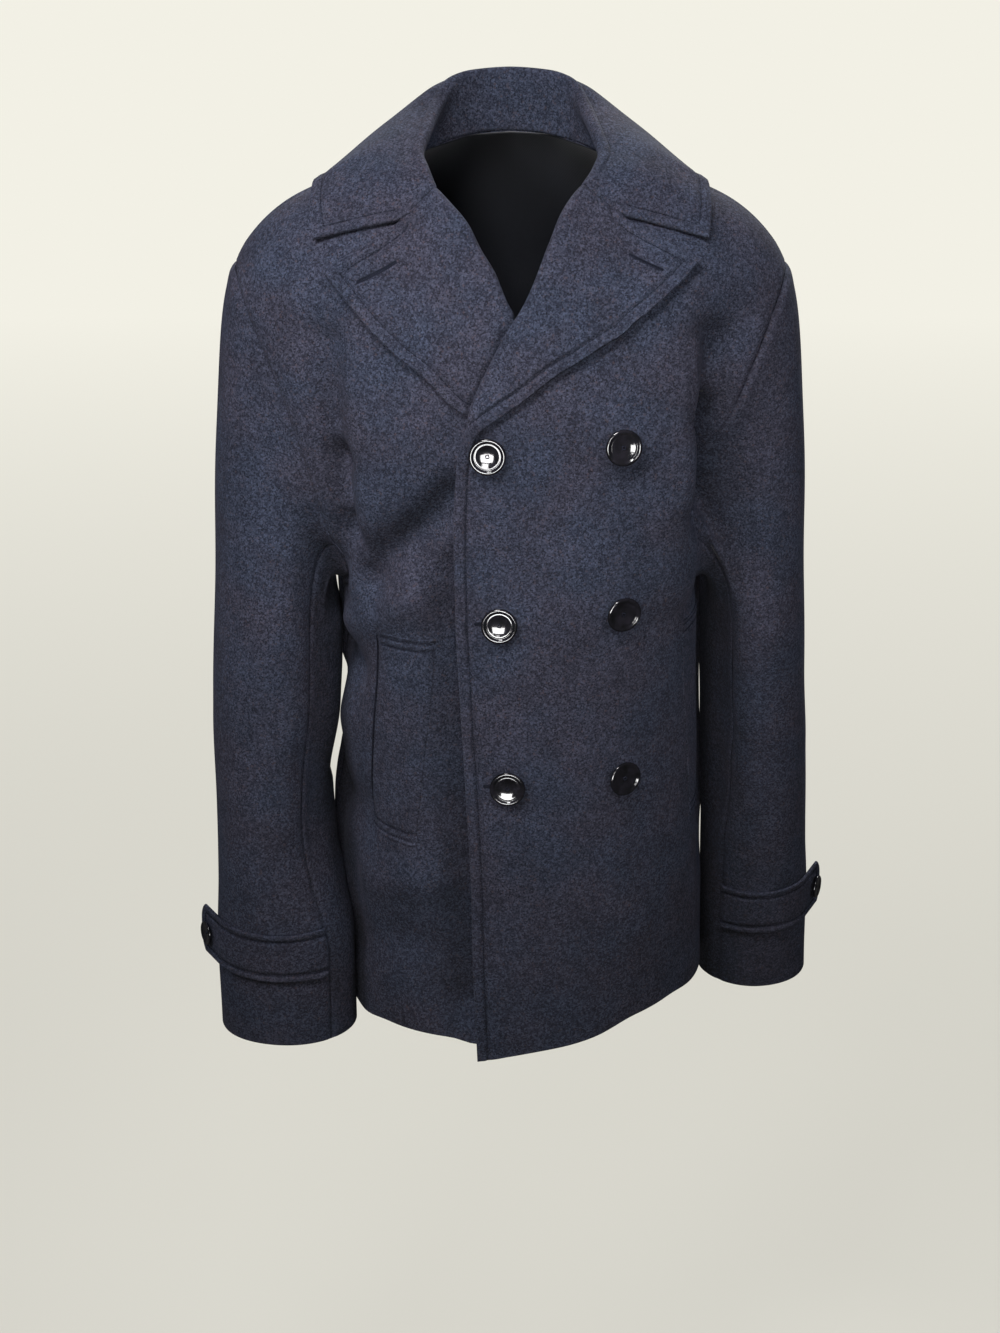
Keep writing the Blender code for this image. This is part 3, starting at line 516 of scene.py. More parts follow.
# Heathered wool is never even: clouds 28 mm across are lighter and darker, and wider ones redder
# and bluer.
clouds, casts, fuzz = (
    add_node(
        wool, "ShaderNodeTexNoise", {"Scale": 1 / size, "Detail": detail, "Roughness": roughness},
        {"Vector": vector},
    ).outputs["Fac"]
    for size, detail, roughness, vector in (
        (28, 2.0, 0.5, other), (55, 3.0, 0.5, grain), (0.45, 3.0, 0.7, grain),
    )
)
cloud_share = add_node(
    wool, "ShaderNodeMapRange",
    {"From Min": 0.3, "From Max": 0.7, "To Min": 0.88, "To Max": 1.12}, {"Value": clouds},
)
cast = add_node(
    wool, "ShaderNodeValToRGB",
    {"stops": [(0.38, (1.07, 0.98, 0.96, 1.0)), (0.62, (0.94, 1.01, 1.05, 1.0))]}, {"Fac": casts},
)
tinted = add_node(
    wool, "ShaderNodeVectorMath", {"operation": "MULTIPLY"},
    {0: mixed.outputs[2], 1: cast.outputs["Color"]},
)
heather = add_node(
    wool, "ShaderNodeVectorMath", {"operation": "SCALE"},
    {0: tinted.outputs["Vector"], "Scale": cloud_share.outputs["Result"]},
)
nap = add_node(wool, "ShaderNodeBump", {"Strength": 0.12, "Distance": 0.0003}, {"Height": fuzz})
link(wool, wool_shader, Base_Color=heather.outputs["Vector"], Normal=nap.outputs["Normal"])

# Lining: a plain-woven viscose twill, dyed near black. Its smooth threads give a soft satin gleam.
# Its ribs are drawn 1.2 mm apart where the real ones are 0.3 mm, so that they show.
lining, lining_shader = start_material("viscose_lining", {
    "Roughness": 0.45, "Specular IOR Level": 0.3, "Sheen Weight": 0.05, "IOR": 1.48,
})
lining_place = add_node(lining, "ShaderNodeUVMap", {"uv_map": "cloth"}, {})
twill = add_node(
    lining, "ShaderNodeMapping", {"Scale": MILLIMETRES, "Rotation": (0, 0, math.radians(45))},
    {"Vector": lining_place.outputs["UV"]},
)
ribs = add_node(
    lining, "ShaderNodeTexWave", {"Scale": 0.26, "Distortion": 0.6, "Detail": 1.0},
    {"Vector": twill.outputs["Vector"]},
).outputs["Fac"]
rib_colour = add_node(
    lining, "ShaderNodeValToRGB", {"stops": [(0.2, "08090d"), (0.8, "101218")]}, {"Fac": ribs},
).outputs["Color"]
rib_bump = add_node(
    lining, "ShaderNodeBump", {"Strength": 0.25, "Distance": 0.0002}, {"Height": ribs},
)
link(lining, lining_shader, Base_Color=rib_colour, Normal=rib_bump.outputs["Normal"])

back = back_panel()
back_relief = seam_dip(back[0], ("first_column", "last_column", "last_row"))
piece = make_cloth("coat_back", *back, CLOTH, ("first_row",), back_relief, [wool, lining], 1)
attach(piece, "root")
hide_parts("back")

# ---------------------------------------------------------------- the two fronts
# The left front buttons over the right one. Each is melton faced with its own cloth along the
# opening and lined behind that; the buttoning edge is turned, pressed and stitched all the way up.

LEFT_FRONT_EDGE = table(
    "level x",
    (-0.7264, -0.0353),
    (-0.6457, -0.0384),
    (-0.5730, -0.0398),
    (-0.5025, -0.0428),
    (-0.3950, -0.0487),
    (-0.3280, -0.0515),
    (-0.2620, -0.0526),
    (-0.2126, -0.0505),
    (-0.1720, -0.0350),
    (-0.1337, -0.0120),
    (-0.1070, 0.0063),
    (-0.0730, 0.0218),
    (-0.0510, 0.0308),
    (-0.0249, 0.0480),
    (-0.0100, 0.0640),
    (0.0000, 0.0785),
)
RIGHT_FRONT_EDGE = table(
    "level x",
    (-0.7220, 0.1100),
    (-0.4500, 0.1120),
    (-0.3300, 0.1080),
    (-0.2500, 0.0960),
    (-0.2050, 0.0720),
    (-0.1720, 0.0400),
    (-0.1400, 0.0100),
    (-0.1108, -0.0150),
    (-0.0905, -0.0253),
    (-0.0750, -0.0360),
    (-0.0563, -0.0462),
    (-0.0249, -0.0690),
    (-0.0100, -0.0820),
    (0.0000, -0.0965),
)
FRONT_EDGE = {1: LEFT_FRONT_EDGE, -1: RIGHT_FRONT_EDGE}
LEFT_HEM = table(
    "bearing level",
    (-13, -0.7264),
    (5, -0.7150),
    (22, -0.7070),
    (36, -0.6985),
    (49, -0.6980),
    (64, -0.7050),
    (90, -0.7160),
)
RIGHT_HEM = table(
    "bearing level",
    (-90, -0.7220),
    (-59, -0.7240),
    (-43, -0.7155),
    (-22, -0.7120),
    (-14, -0.7150),
    (5, -0.7080),
    (45, -0.6880),
)
OVERLAP_LIFT = table(
    "level lift",
    (-0.722, 0.0045),
    (-0.400, 0.0048),
    (-0.330, 0.0068),
    (-0.230, 0.0080),
    (-0.180, 0.0125),
    (-0.095, 0.0125),
    (-0.055, 0.0060),
    (-0.020, 0.0000),
    (0.000, 0.0000),
)
LEAST_COVERED = 20
COVERED_MARGIN = 4
RIGHT_FRONT_FOLDS = table(
    "bearing_0 level_0 bearing_1 level_1 width height",
    (-13, -0.236, -48, -0.316, 0.017, -0.019),
    (-14, -0.30, -13, -0.67, 0.033, -0.029),
    (-28, -0.318, -64, -0.362, 0.016, 0.006),
    (-55, -0.590, -26, -0.568, 0.018, 0.005),
    (-72, -0.668, -32, -0.628, 0.020, -0.005),
)

# Topstitching runs at one distance inside each turned edge, and the cloth swells beside it.
sewn_edges = {}
STITCH_IN = 0.0094
STITCH_DIP = 0.0016
STITCH_WIDTH = 0.0016
EDGE_SWELL = 0.0009
SWELL_SLOPE = 0.002
EDGE_STEPS = np.array([0, 1.4, 3, 5, 6.6, 7.6, 8.4, 9, 9.5, 10.1, 11, 12.2, 14, 17]) / 1000
FACING_WIDTH = 0.085
BREAK_LEVEL = -0.198
FRONT_PROBES = 121

# Lines down the fronts where their columns lie closer, each by its bearing at two levels: the left
# front's dart, and the outer edge of each pocket welt, where the pocket's mouth is cut.
DART = ((28.2, -0.2142), (45.0, -0.3450))
DART_DIP = 0.0006
DART_WIDTH = 0.0012
MOUTHS = {1: ((78.4, -0.3545), (83.4, -0.5405)), -1: ((-47.5, -0.3545), (-54.3, -0.5405))}
MOUTH_DIP = 0.0022
MOUTH_WIDTH = 0.0019
LINE_STEPS = np.array([-5, -2.8, -1.5, -0.7, 0, 0.7, 1.5, 2.8, 5]) / 1000
LINE_POINTS = 24
EDGE_ROOM, LINE_ROOM, SEAM_ROOM = 0.02, 0.035, 0.012


def on_front(hand, around, level, out=0.0):
    """Points and outward directions on a front's cloth; hand is 1 for the left front, -1 for the
    right one, and out the distance in front of its middle."""
    height = drape(-1, around, level) + out
    if hand > 0:
        lift = smooth(level, OVERLAP_LIFT["level"], OVERLAP_LIFT["lift"])
        covered = around_of(smooth(level, RIGHT_FRONT_EDGE["level"], RIGHT_FRONT_EDGE["x"]), level)
        covered = np.maximum(covered, LEAST_COVERED) + COVERED_MARGIN
        height = height + lift * (1 - ease((around - covered) / (armhole_around(level) - covered)))
    else:
        height = height + fold_depth(RIGHT_FRONT_FOLDS, around, level, FOLD_RADIUS)
    normal = body_normal(-1, around, level)
    return body(-1, around, level) + normal * height[..., None], normal


def edge_around(hand, level):
    """Angle of a front's inner edge, or of its roll line, at a level."""
    edge = FRONT_EDGE[hand]
    return around_of(smooth(level, edge["level"], edge["x"]), level)


def front_panel(hand, hem, lines, counts):
    """Mid-cloth points and outward directions of a front, and the places of its columns, which lie
    closer together at its edge, along some lines and at its seam, with so many between them."""
    levels = LEVELS[:, None]
    inner, outer = edge_around(hand, levels), hand * armhole_around(levels)
    probe = np.linspace(0, 1, FRONT_PROBES)
    around = between(inner, outer, probe)
    length = lengths_along(on_front(hand, around, levels)[0], 1)
    share = []
    for row, level in enumerate(LEVELS):
        total, last = length[row, -1], EDGE_STEPS[-1]
        places = [EDGE_STEPS]
        for number, ((around0, level0), (around1, level1)) in enumerate(lines):
            bearing = around0 + (around1 - around0) * (level - level0) / (level1 - level0)
            at = np.interp(hand * bearing, hand * around[row], length[row])
            room = LINE_ROOM * (len(lines) - number - 1) + SEAM_STEPS[-1] + SEAM_ROOM
            at = np.clip(at, last + EDGE_ROOM, total - room)
            places += [np.linspace(last, at + LINE_STEPS[0], counts[number])[1:-1], at + LINE_STEPS]
            last = at + LINE_STEPS[-1]
        places.append(np.linspace(last, total - SEAM_STEPS[-1], counts[-1])[1:-1])
        places = np.concatenate([*places, total - SEAM_STEPS[::-1]])
        share.append(np.interp(places, length[row], probe))
    around = between(inner, outer, np.array(share))
    levels = hang_to(hem, around, levels)
    return *on_front(hand, around, levels), around, levels


def along_line(line, share):
    """Bearings and levels along a line down a front."""
    return (between(*ends, share) for ends in zip(*line))


def line_dip(hand, line, depth, width, points):
    """Depth of a soft groove along a line down a front."""
    path = on_front(hand, *along_line(line, np.linspace(0, 1, LINE_POINTS)))[0]
    return -depth * hump(distance_to(path, points) / width)


def edge_relief(distance, stitched=STITCH_IN, swell=EDGE_SWELL):
    """Height of the outer face beside a turned edge with its topstitching."""
    groove = hump((distance - stitched) / STITCH_WIDTH)
    return swell * ease((stitched - distance) / SWELL_SLOPE) - STITCH_DIP * groove


fronts = {}
for side, hand, hem, lines, counts, flat, area in (
    ("left", 1, LEFT_HEM, (DART, MOUTHS[1]), (34, 10, 5), (0.33, 0.78), 0.199),
    ("right", -1, RIGHT_HEM, (MOUTHS[-1],), (40, 12), (0.38, 0.78), 0.237),
):
    fronts[side] = front = front_panel(hand, hem, lines, counts)
    from_edge = distance_to(front[0][:, 0], front[0])
    relief = edge_relief(from_edge) + seam_dip(front[0], ("last_column", "last_row"))
    for line in lines:
        depth, width = (DART_DIP, DART_WIDTH) if line is DART else (MOUTH_DIP, MOUTH_WIDTH)
        relief += line_dip(hand, line, depth, width, front[0])
    faced = from_edge[:-1, :-1] > FACING_WIDTH
    piece = make_cloth(
        "coat_front_" + side, *front[:2], CLOTH, ("first_row", "first_column"), relief,
        [wool, lining], faced.astype(int),
    )
    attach(piece, "root")
    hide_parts("front_" + side)

points, normals = fronts["left"][:2]
turned = points[LEVELS < BREAK_LEVEL, 0]
sewn_edges["front_left"] = [(turned, points, normals, CLOTH / 2, STITCH_IN)]

# ---------------------------------------------------------------- the lapels
# Each lapel is the front's facing, turned over at the roll line. The canvas inside gives it a
# slight crown and lets its outer edge spring off the front; that edge is turned and topstitched.

FACING = 0.003
SEAM_GAP = 0.0003
LEFT_LAPEL = table(
    "along x level",
    (-0.1245, -0.0440, -0.1960),
    (0.000, -0.0310, -0.1856),
    (0.159, -0.0022, -0.1696),
    (0.539, 0.0625, -0.1194),
    (0.669, 0.0825, -0.0997),
    (0.865, 0.1142, -0.0717),
    (1.000, 0.1339, -0.0503),
)
RIGHT_LAPEL = table(
    "along x level",
    (0.000, 0.0380, -0.1860),
    (0.310, -0.0374, -0.1787),
    (0.557, -0.0811, -0.1379),
    (0.763, -0.1165, -0.1024),
    (1.000, -0.1524, -0.0574),
)
NOTCH = {1: (0.0741, -0.0287), -1: (-0.0912, -0.0317)}
NOTCH_FALL = 0.30
GORGE_DIP = 0.0003
BREAK_ANGLE = 18.2
GORGE_ANGLE = 64.2
LAPEL_STANDOFF = 0.0008
STANDOFF_RISE = 3
LAPEL_CROWN = 0.0015
LAPEL_SPRING = 0.0034
SPRING_FROM = 0.35

# The left front's roll presses a line into the right lapel, a little below where it lies.
PRESS_DIP = 0.0024
PRESS_WIDTH = 0.0022
PRESS_FALL = 0.0025

ROLL_OUT = CLOTH / 2 + SEAM_GAP + FACING / 2
ROLL_TURN = np.radians(np.linspace(-60, 60, 13))[:, None]
LAPEL_ROWS = 130
TAPER = 0.13
LEAST_GROWTH = 0.03
GORGE_FROM = 0.4
NOTCH_COLUMN = 21
FALL = np.concatenate([
    np.linspace(0, NOTCH_FALL, NOTCH_COLUMN + 1), np.linspace(NOTCH_FALL, 1, 50)[1:],
])


def roll_at(hand, level):
    """At levels up a front's roll line: points, outward directions, and directions in the cloth
    that point away from the panel."""
    points, normals = on_front(hand, edge_around(hand, level), level)
    step = 0.0005
    above, below = (
        on_front(hand, edge_around(hand, at), at)[0]
        for at in (np.minimum(level + step, 0.0), level - step)
    )
    return points, normals, unit(np.cross(normals, above - below)) * hand


def notch_point(hand):
    """The notch, where a lapel's gorge ends and its free edge begins."""
    x, level = NOTCH[hand]
    out = ROLL_OUT + LAPEL_STANDOFF
    return on_front(hand, around_of(x, level), np.array(level), out)[0]


def lapel_panel(hand, edge):
    """Mid-cloth points and outward directions of a lapel, round the roll and out to its free edge,
    and its thickness, which tapers to nothing where the lapel grows out of the front's edge."""
    along = np.linspace(edge["along"][0], 1, LAPEL_ROWS)
    level = CHEST * (1 - np.sin(np.radians(BREAK_ANGLE + (GORGE_ANGLE - BREAK_ANGLE) * along)))
    points, normals, away = roll_at(hand, level)
    around = edge_around(hand, level)
    edge_level = smooth(along, edge["along"], edge["level"])
    edge_turn = around_of(smooth(along, edge["along"], edge["x"]), edge_level)
    if hand > 0:
        grow = np.maximum(ease((along - along[0]) / TAPER), LEAST_GROWTH)[:, None]
    else:
        grow = np.ones((LAPEL_ROWS, 1))
    share = (around_of(*NOTCH[hand]) - around[-1]) / (edge_turn[-1] - around[-1])
    across = np.interp(FALL, [0, NOTCH_FALL, 1], [0, share, 1])
    face_around = between(around[:, None], edge_turn[:, None], across)
    face_level = between(level[:, None], edge_level[:, None], across)
    crown = LAPEL_CROWN * 4 * across * (1 - across)
    spring = LAPEL_SPRING * across**3 * ease((along - SPRING_FROM) / SPRING_FROM)[:, None]
    lift = grow * (ROLL_OUT + LAPEL_STANDOFF * ease(across * STANDOFF_RISE) + crown + spring)
    face, face_normals = on_front(hand, face_around, face_level, lift)
    start = points + normals * ROLL_OUT * grow
    face = face + (start[:, None] - face[:, :1]) * ((1 - across) ** 2)[:, None]
    spokes = normals[:, None] * np.sin(ROLL_TURN) + away[:, None] * np.cos(ROLL_TURN)
    gorge = between(start[-1], notch_point(hand), (FALL[:NOTCH_COLUMN + 1] / NOTCH_FALL)[:, None])
    shift = np.zeros_like(face[-1])
    shift[:NOTCH_COLUMN + 1] = gorge - face[-1, :NOTCH_COLUMN + 1]
    rest = (1 - FALL[NOTCH_COLUMN:]) / (1 - NOTCH_FALL)
    shift[NOTCH_COLUMN:] = shift[NOTCH_COLUMN] * rest[:, None]
    near_gorge = ease((along - GORGE_FROM) / (1 - GORGE_FROM))[:, None] ** 2
    face = face + shift * near_gorge[..., None]
    rolled = points[:, None] + ROLL_OUT * grow[..., None] * spokes
    grid = np.concatenate([rolled, face], axis=1)
    facing = np.concatenate([spokes, face_normals], axis=1)
    return grid, facing, FACING * grow


for side, hand, edge, flat, area in (
    ("left", 1, LEFT_LAPEL, (0.11, 0.21), 0.0162),
    ("right", -1, RIGHT_LAPEL, (0.12, 0.24), 0.0195),
):
    grid, facing, thickness = lapel_panel(hand, edge)
    free_edge = np.concatenate([grid[:, -1], grid[-1, :len(ROLL_TURN) + NOTCH_COLUMN:-1]])
    from_edge = distance_to(free_edge, grid)
    gorge_seam = distance_to(grid[-1, :len(ROLL_TURN) + NOTCH_COLUMN], grid)
    relief = edge_relief(from_edge) - GORGE_DIP * hump(gorge_seam / SEAM_WIDTH)
    if hand > 0:
        rolled_edge = grid[:, len(ROLL_TURN) // 2] + facing[:, len(ROLL_TURN) // 2] * FACING / 2
    else:
        flat_line, flat_grid = rolled_edge - [0.0, 0.0, PRESS_FALL], grid.copy()
        flat_line[:, 1] = flat_grid[..., 1] = 0.0
        relief = relief - PRESS_DIP * hump(distance_to(flat_line, flat_grid) / PRESS_WIDTH)
    relief = relief * np.minimum(thickness / FACING, 1.0)
    sewn_edges["lapel_" + side] = [(free_edge, grid, facing, thickness / 2, STITCH_IN)]
    piece = make_cloth(
        "lapel_facing_" + side, grid, facing, thickness, ("last_column", "last_row"), relief,
        [wool],
    )
    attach(piece, "root")
    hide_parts("lapel_" + side)

# ---------------------------------------------------------------- the collar
# Stand and fall in one piece, turned down at its roll and joined to the lapels at the gorge. It is
# two layers of melton with canvas between, so its edge is thick; it is topstitched all round.

COLLAR = table(
    "station stand lean edge_out edge_level edge_lift bulge",
    (0, 0.000, 0.000, 0.1510, -0.0327, 0.0060, 0.000),
    (1, 0.009, -0.005, 0.1545, -0.0107, 0.0058, 0.035),
    (2, 0.018, -0.011, 0.1540, -0.0030, 0.0060, 0.035),
    (3, 0.027, -0.019, 0.1530, -0.0005, 0.0065, 0.035),
    (4, 0.038, -0.007, 0.1480, -0.0150, 0.0068, 0.030),
    (5, 0.046, 0.005, 0.1130, -0.0330, 0.0075, 0.024),
    (6, 0.048, 0.009, 0.0590, -0.0480, 0.0065, 0.018),
    (7, 0.048, 0.010, 0.0000, -0.0610, 0.0060, 0.016),
)
STATION_ANGLES = (64.2, 73.0, 81.5, 90.0)
SHOULDER_STATION = 3
COLLAR_STEPS = 18
ROLL_RADIUS = 0.0040
COLLAR_TURN = np.radians([-90, -45, 0, 45, 90])[:, None]
COLLAR_FALL = np.array([0.15, 0.30, 0.52, 0.76, 1.0])
GORGE_TURN = np.radians([-60, -36, -12, 12, 36, 60])[:, None]
# How many pieces each of a station's eleven stretches is cut into, from the seam to the edge. The
# first eight reach to the lapel's notch.
STRETCHES = (8, 8, 3, 3, 3, 3, 8, 8, 12, 13, 14)
NOTCH_ROW = sum(STRETCHES[:8])


def collar_half(hand):
    """Key stations of one half of the collar, from its gorge to the middle of the back: each a
    row of points from the neck seam over the roll to the free edge."""
    level = CHEST * (1 - np.sin(np.radians(STATION_ANGLES)))
    points, normals, away = roll_at(hand, level)
    share = np.linspace(1, 0, 5)
    neck_level = smooth(NECK_POINT * share, BACK_NECKLINE["out"], BACK_NECKLINE["level"])
    top_around = around_of(NECK_POINT + BODY["centre"][-1], 0.0)
    neck_around = hand * top_around * share
    neck, neck_normals = body(1, neck_around, neck_level), body_normal(1, neck_around, neck_level)
    neck_away = unit(np.cross(np.gradient(neck, axis=0), neck_normals)) * -hand
    points = np.concatenate([points, neck[1:]])
    away = np.concatenate([away[:-1], unit(away[-1:] + neck_away[:1]), neck_away[1:]])
    rows = []
    for station, stand, lean, out, level, lift, bulge in zip(*COLLAR.values()):
        i = int(station)
        reach = np.degrees(np.arcsin(out / body_column("half_width", level)))
        if i <= SHOULDER_STATION:
            edge = on_front(hand, hand * reach, np.array(level), lift)[0]
        else:
            edge = body(1, hand * reach, level) + body_normal(1, hand * reach, level) * lift
        if i == 0:
            start, normal, across = points[0], normals[0], away[0]
            rolled = start + ROLL_OUT * (normal * np.sin(GORGE_TURN) + across * np.cos(GORGE_TURN))
            inner = start + ROLL_OUT * normal
            notch = notch_point(hand)
            t = (COLLAR_FALL[2:, None] - NOTCH_FALL) / (1 - NOTCH_FALL)
            gorge = [inner, (inner + notch) / 2, notch]
            rows.append(np.concatenate([rolled, gorge, between(notch, edge, t)]))
            continue
        seam = points[i]
        outward = unit((edge - seam) * [1.0, 1.0, 0.0])
        top = seam + outward * lean + np.array([0.0, 0.0, stand])
        up = unit(np.array([0.0, 0.0, 1.0]) + away[i] * (1 - ease(i / SHOULDER_STATION)))
        side = unit(outward - up * np.dot(outward, up))
        rolled = side * np.sin(COLLAR_TURN) + up * np.cos(COLLAR_TURN)
        rolled = top - up * ROLL_RADIUS + ROLL_RADIUS * rolled
        control = rolled[-1] + outward * bulge
        t = COLLAR_FALL[:, None]
        fall = rolled[-1] * (1 - t) ** 2 + control * 2 * t * (1 - t) + edge * t * t
        rows.append(np.concatenate([[seam, (seam + rolled[0]) / 2], rolled, fall]))
    return np.array(rows)


def each_column(read, at, places, values):
    """Read every column of some values at the same places, straight or on smooth curves."""
    return np.stack([read(at, places, column) for column in values.T], axis=-1)


def even_out(keys, counts):
    """Put points on a smooth curve through key points, so many on each of its stretches."""
    places = np.concatenate([[0], np.cumsum(np.linalg.norm(np.diff(keys, axis=0), axis=1))])
    at = np.concatenate([
        np.linspace(a, b, n, endpoint=False) for a, b, n in zip(places[:-1], places[1:], counts)
    ] + [places[-1:]])
    return each_column(smooth, at, places, keys)


def grid_normals(points):
    """Directions square to a grid of points, by the differences of its rows and columns."""
    return unit(np.cross(np.gradient(points, axis=1), np.gradient(points, axis=0)))


right_keys, left_keys = collar_half(-1), collar_half(1)
keys = np.concatenate([right_keys, left_keys[-2::-1]])
keys = np.array([even_out(row, STRETCHES) for row in keys])
stations = np.arange(len(keys), dtype=float)
at = np.linspace(0, stations[-1], (len(keys) - 1) * COLLAR_STEPS + 1)
grid = each_column(smooth, at, stations, keys.reshape(len(keys), -1))
grid = grid.reshape(len(at), -1, 3).transpose(1, 0, 2)
facing = grid_normals(grid)
facing *= np.sign(facing[-1, len(at) // 2, 1])
free_edge = np.concatenate([grid[NOTCH_ROW:, 0], grid[-1], grid[:NOTCH_ROW:-1, -1]])
from_edge = distance_to(free_edge, grid)
gorge = np.minimum(distance_to(grid[:NOTCH_ROW, 0], grid), distance_to(grid[:NOTCH_ROW, -1], grid))
relief = edge_relief(from_edge) - GORGE_DIP * hump(gorge / SEAM_WIDTH)
sewn_edges["collar"] = [(free_edge, grid, facing, FACING / 2, STITCH_IN)]
piece = make_cloth(
    "collar_turned", grid, facing, FACING, ("last_row", "first_column", "last_column"), relief,
    [wool],
)
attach(piece, "root")
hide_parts("collar")

# ---------------------------------------------------------------- the sleeves
# Two-piece set-in sleeves: a wide top sleeve and a narrow under sleeve, joined by a seam in front
# and one behind, and eased into the armhole, so that the head stands a little proud of the seam.

SLEEVE_TOP = -0.385
SLEEVE_STEP = 0.01
LEFT_SLEEVE = table(
    "z x y half_width half_depth",
    (-0.745, 0.2164, 0.025, 0.0490, 0.047),
    (-0.650, 0.2135, 0.020, 0.0470, 0.052),
    (-0.570, 0.2110, 0.014, 0.0460, 0.057),
    (-0.510, 0.2085, 0.009, 0.0440, 0.061),
    (-0.430, 0.2035, 0.004, 0.0415, 0.068),
    (-0.345, 0.1985, 0.000, 0.0415, 0.075),
)
RIGHT_SLEEVE = table(
    "z x y half_width half_depth",
    (-0.735, -0.2040, -0.090, 0.0585, 0.045),
    (-0.650, -0.2040, -0.080, 0.0580, 0.050),
    (-0.580, -0.2117, -0.069, 0.0500, 0.056),
    (-0.520, -0.2132, -0.058, 0.0480, 0.060),
    (-0.450, -0.2080, -0.045, 0.0530, 0.066),
    (-0.345, -0.2030, -0.024, 0.0530, 0.075),
)
CAP_ROWS = 44
CAP_SPACING = 1.35
ARM_ROWS = 72
CAP_TURN = 0.15
ARMPIT_TURN = 1.30
CAP_PULL = 0.045
CAP_PULL_SHARE = 0.20
ARM_PULL_SHARE = 0.90
SEAM_ANGLES = {"left": (-41.9, 223.9), "right": (-42.1, 212.1)}
SEAM_TURNS = np.array([0.0, 1.2, 2.5, 4.4, 7.0, 10.0])

# Soft folds of the sleeves, each between two places: an angle round the sleeve, where 0 is its
# front and 90 its outside, and a height.
SLEEVE_FOLDS = {
    "left": table(
        "angle_0 level_0 angle_1 level_1 width height",
        (10, -0.12, -4, -0.30, 0.014, -0.0022),
        (34, -0.16, 28, -0.33, 0.016, -0.0018),
        (-50, -0.47, -20, -0.50, 0.016, -0.0025),
        (-46, -0.53, -10, -0.57, 0.018, -0.0020),
        (150, -0.42, 190, -0.46, 0.020, -0.0030),
        (140, -0.50, 200, -0.52, 0.020, -0.0030),
        (60, -0.52, 66, -0.61, 0.024, -0.0015),
        (-126, -0.37, -126, -0.56, 0.020, 0.0090),
        (-50, -0.25, -62, -0.56, 0.021, -0.0090),
    ),
    "right": table(
        "angle_0 level_0 angle_1 level_1 width height",
        (20, -0.14, 8, -0.30, 0.016, -0.0020),
        (-50, -0.46, -18, -0.49, 0.016, -0.0025),
        (-46, -0.54, -14, -0.57, 0.018, -0.0020),
        (150, -0.41, 196, -0.45, 0.020, -0.0030),
        (140, -0.50, 196, -0.53, 0.020, -0.0030),
        (52, -0.46, 60, -0.60, 0.026, -0.0020),
        (-126, -0.385, -126, -0.42, 0.018, 0.0045),
        (-126, -0.53, -126, -0.60, 0.020, 0.0080),
        (-46, -0.26, -62, -0.56, 0.022, -0.0090),
    ),
}
SLEEVE_RADIUS = 0.055
SLEEVE_WAVES = ((2, 31, 1.0, 0.0), (3, -22, 0.8, 1.3), (5, 47, 0.6, 0.0))
SLEEVE_RIPPLE = 0.0004
HEAD_ROLL = 0.0007
HEAD_FROM = -0.2
HEAD_REACH = 0.8
HEAD_ROLL_AT = 0.008
HEAD_ROLL_WIDTH = 0.006
SETTLING_ROWS = 4
FOLDLESS_ROWS = 14


def sleeve_section(hand, sleeve, angle, z):
    """A point of a sleeve at an angle round it: -90 next to the body, 0 in front, 90 outside."""
    x, y, half_width, half_depth = (
        smooth(z, sleeve["z"], sleeve[name]) for name in ("x", "y", "half_width", "half_depth")
    )
    angle = np.radians(angle)
    x = x + hand * half_width * np.sin(angle)
    return np.stack(np.broadcast_arrays(x, y - half_depth * np.cos(angle), z), axis=-1)


def sleeve_drape(side, angle, z):
    """Height of a sleeve's folds and waves."""
    folds = sum(
        fold_depth(SLEEVE_FOLDS[side], angle + lap, z, SLEEVE_RADIUS)
        for lap in (0, -360)
    )
    return folds + SLEEVE_RIPPLE * ripple(SLEEVE_WAVES, angle, z)


def sleeve_columns(hand, front, back):
    """The armhole's points and directions, from the armpit up the front and down the back, and the
    angles that they come down to on the arm."""
    start = ARMPIT_ROW
    column = -1 if hand > 0 else 0
    ring = np.concatenate([front[0][start:, -1], back[0][start + 1:-1, column][::-1]])
    normals = np.concatenate([front[1][start:, -1], back[1][start + 1:-1, column][::-1]])
    step = np.linalg.norm(np.roll(ring, -1, 0) - ring, axis=1)
    half = len(ring) // 2
    rise = np.concatenate([[0], np.cumsum(step[:half])])
    fall = np.concatenate([[0], np.cumsum(step[half:])])
    angle = np.concatenate([-90 + 180 * rise / rise[-1], 90 + 180 * fall[1:-1] / fall[-1]])
    away = np.cross(normals, np.roll(ring, -1, 0) - np.roll(ring, 1, 0))
    away = unit(away * np.sign(np.sum(away * (ring.mean(axis=0) - ring), axis=1))[:, None])
    return ring, unit(normals), angle, away


def around_ring(values, angle, at):
    """Read values that run round the armhole at any angles."""
    places = np.concatenate([angle - 360, angle, angle + 360])
    values = np.concatenate([values] * 3)
    return each_column(np.interp, at, places, values)


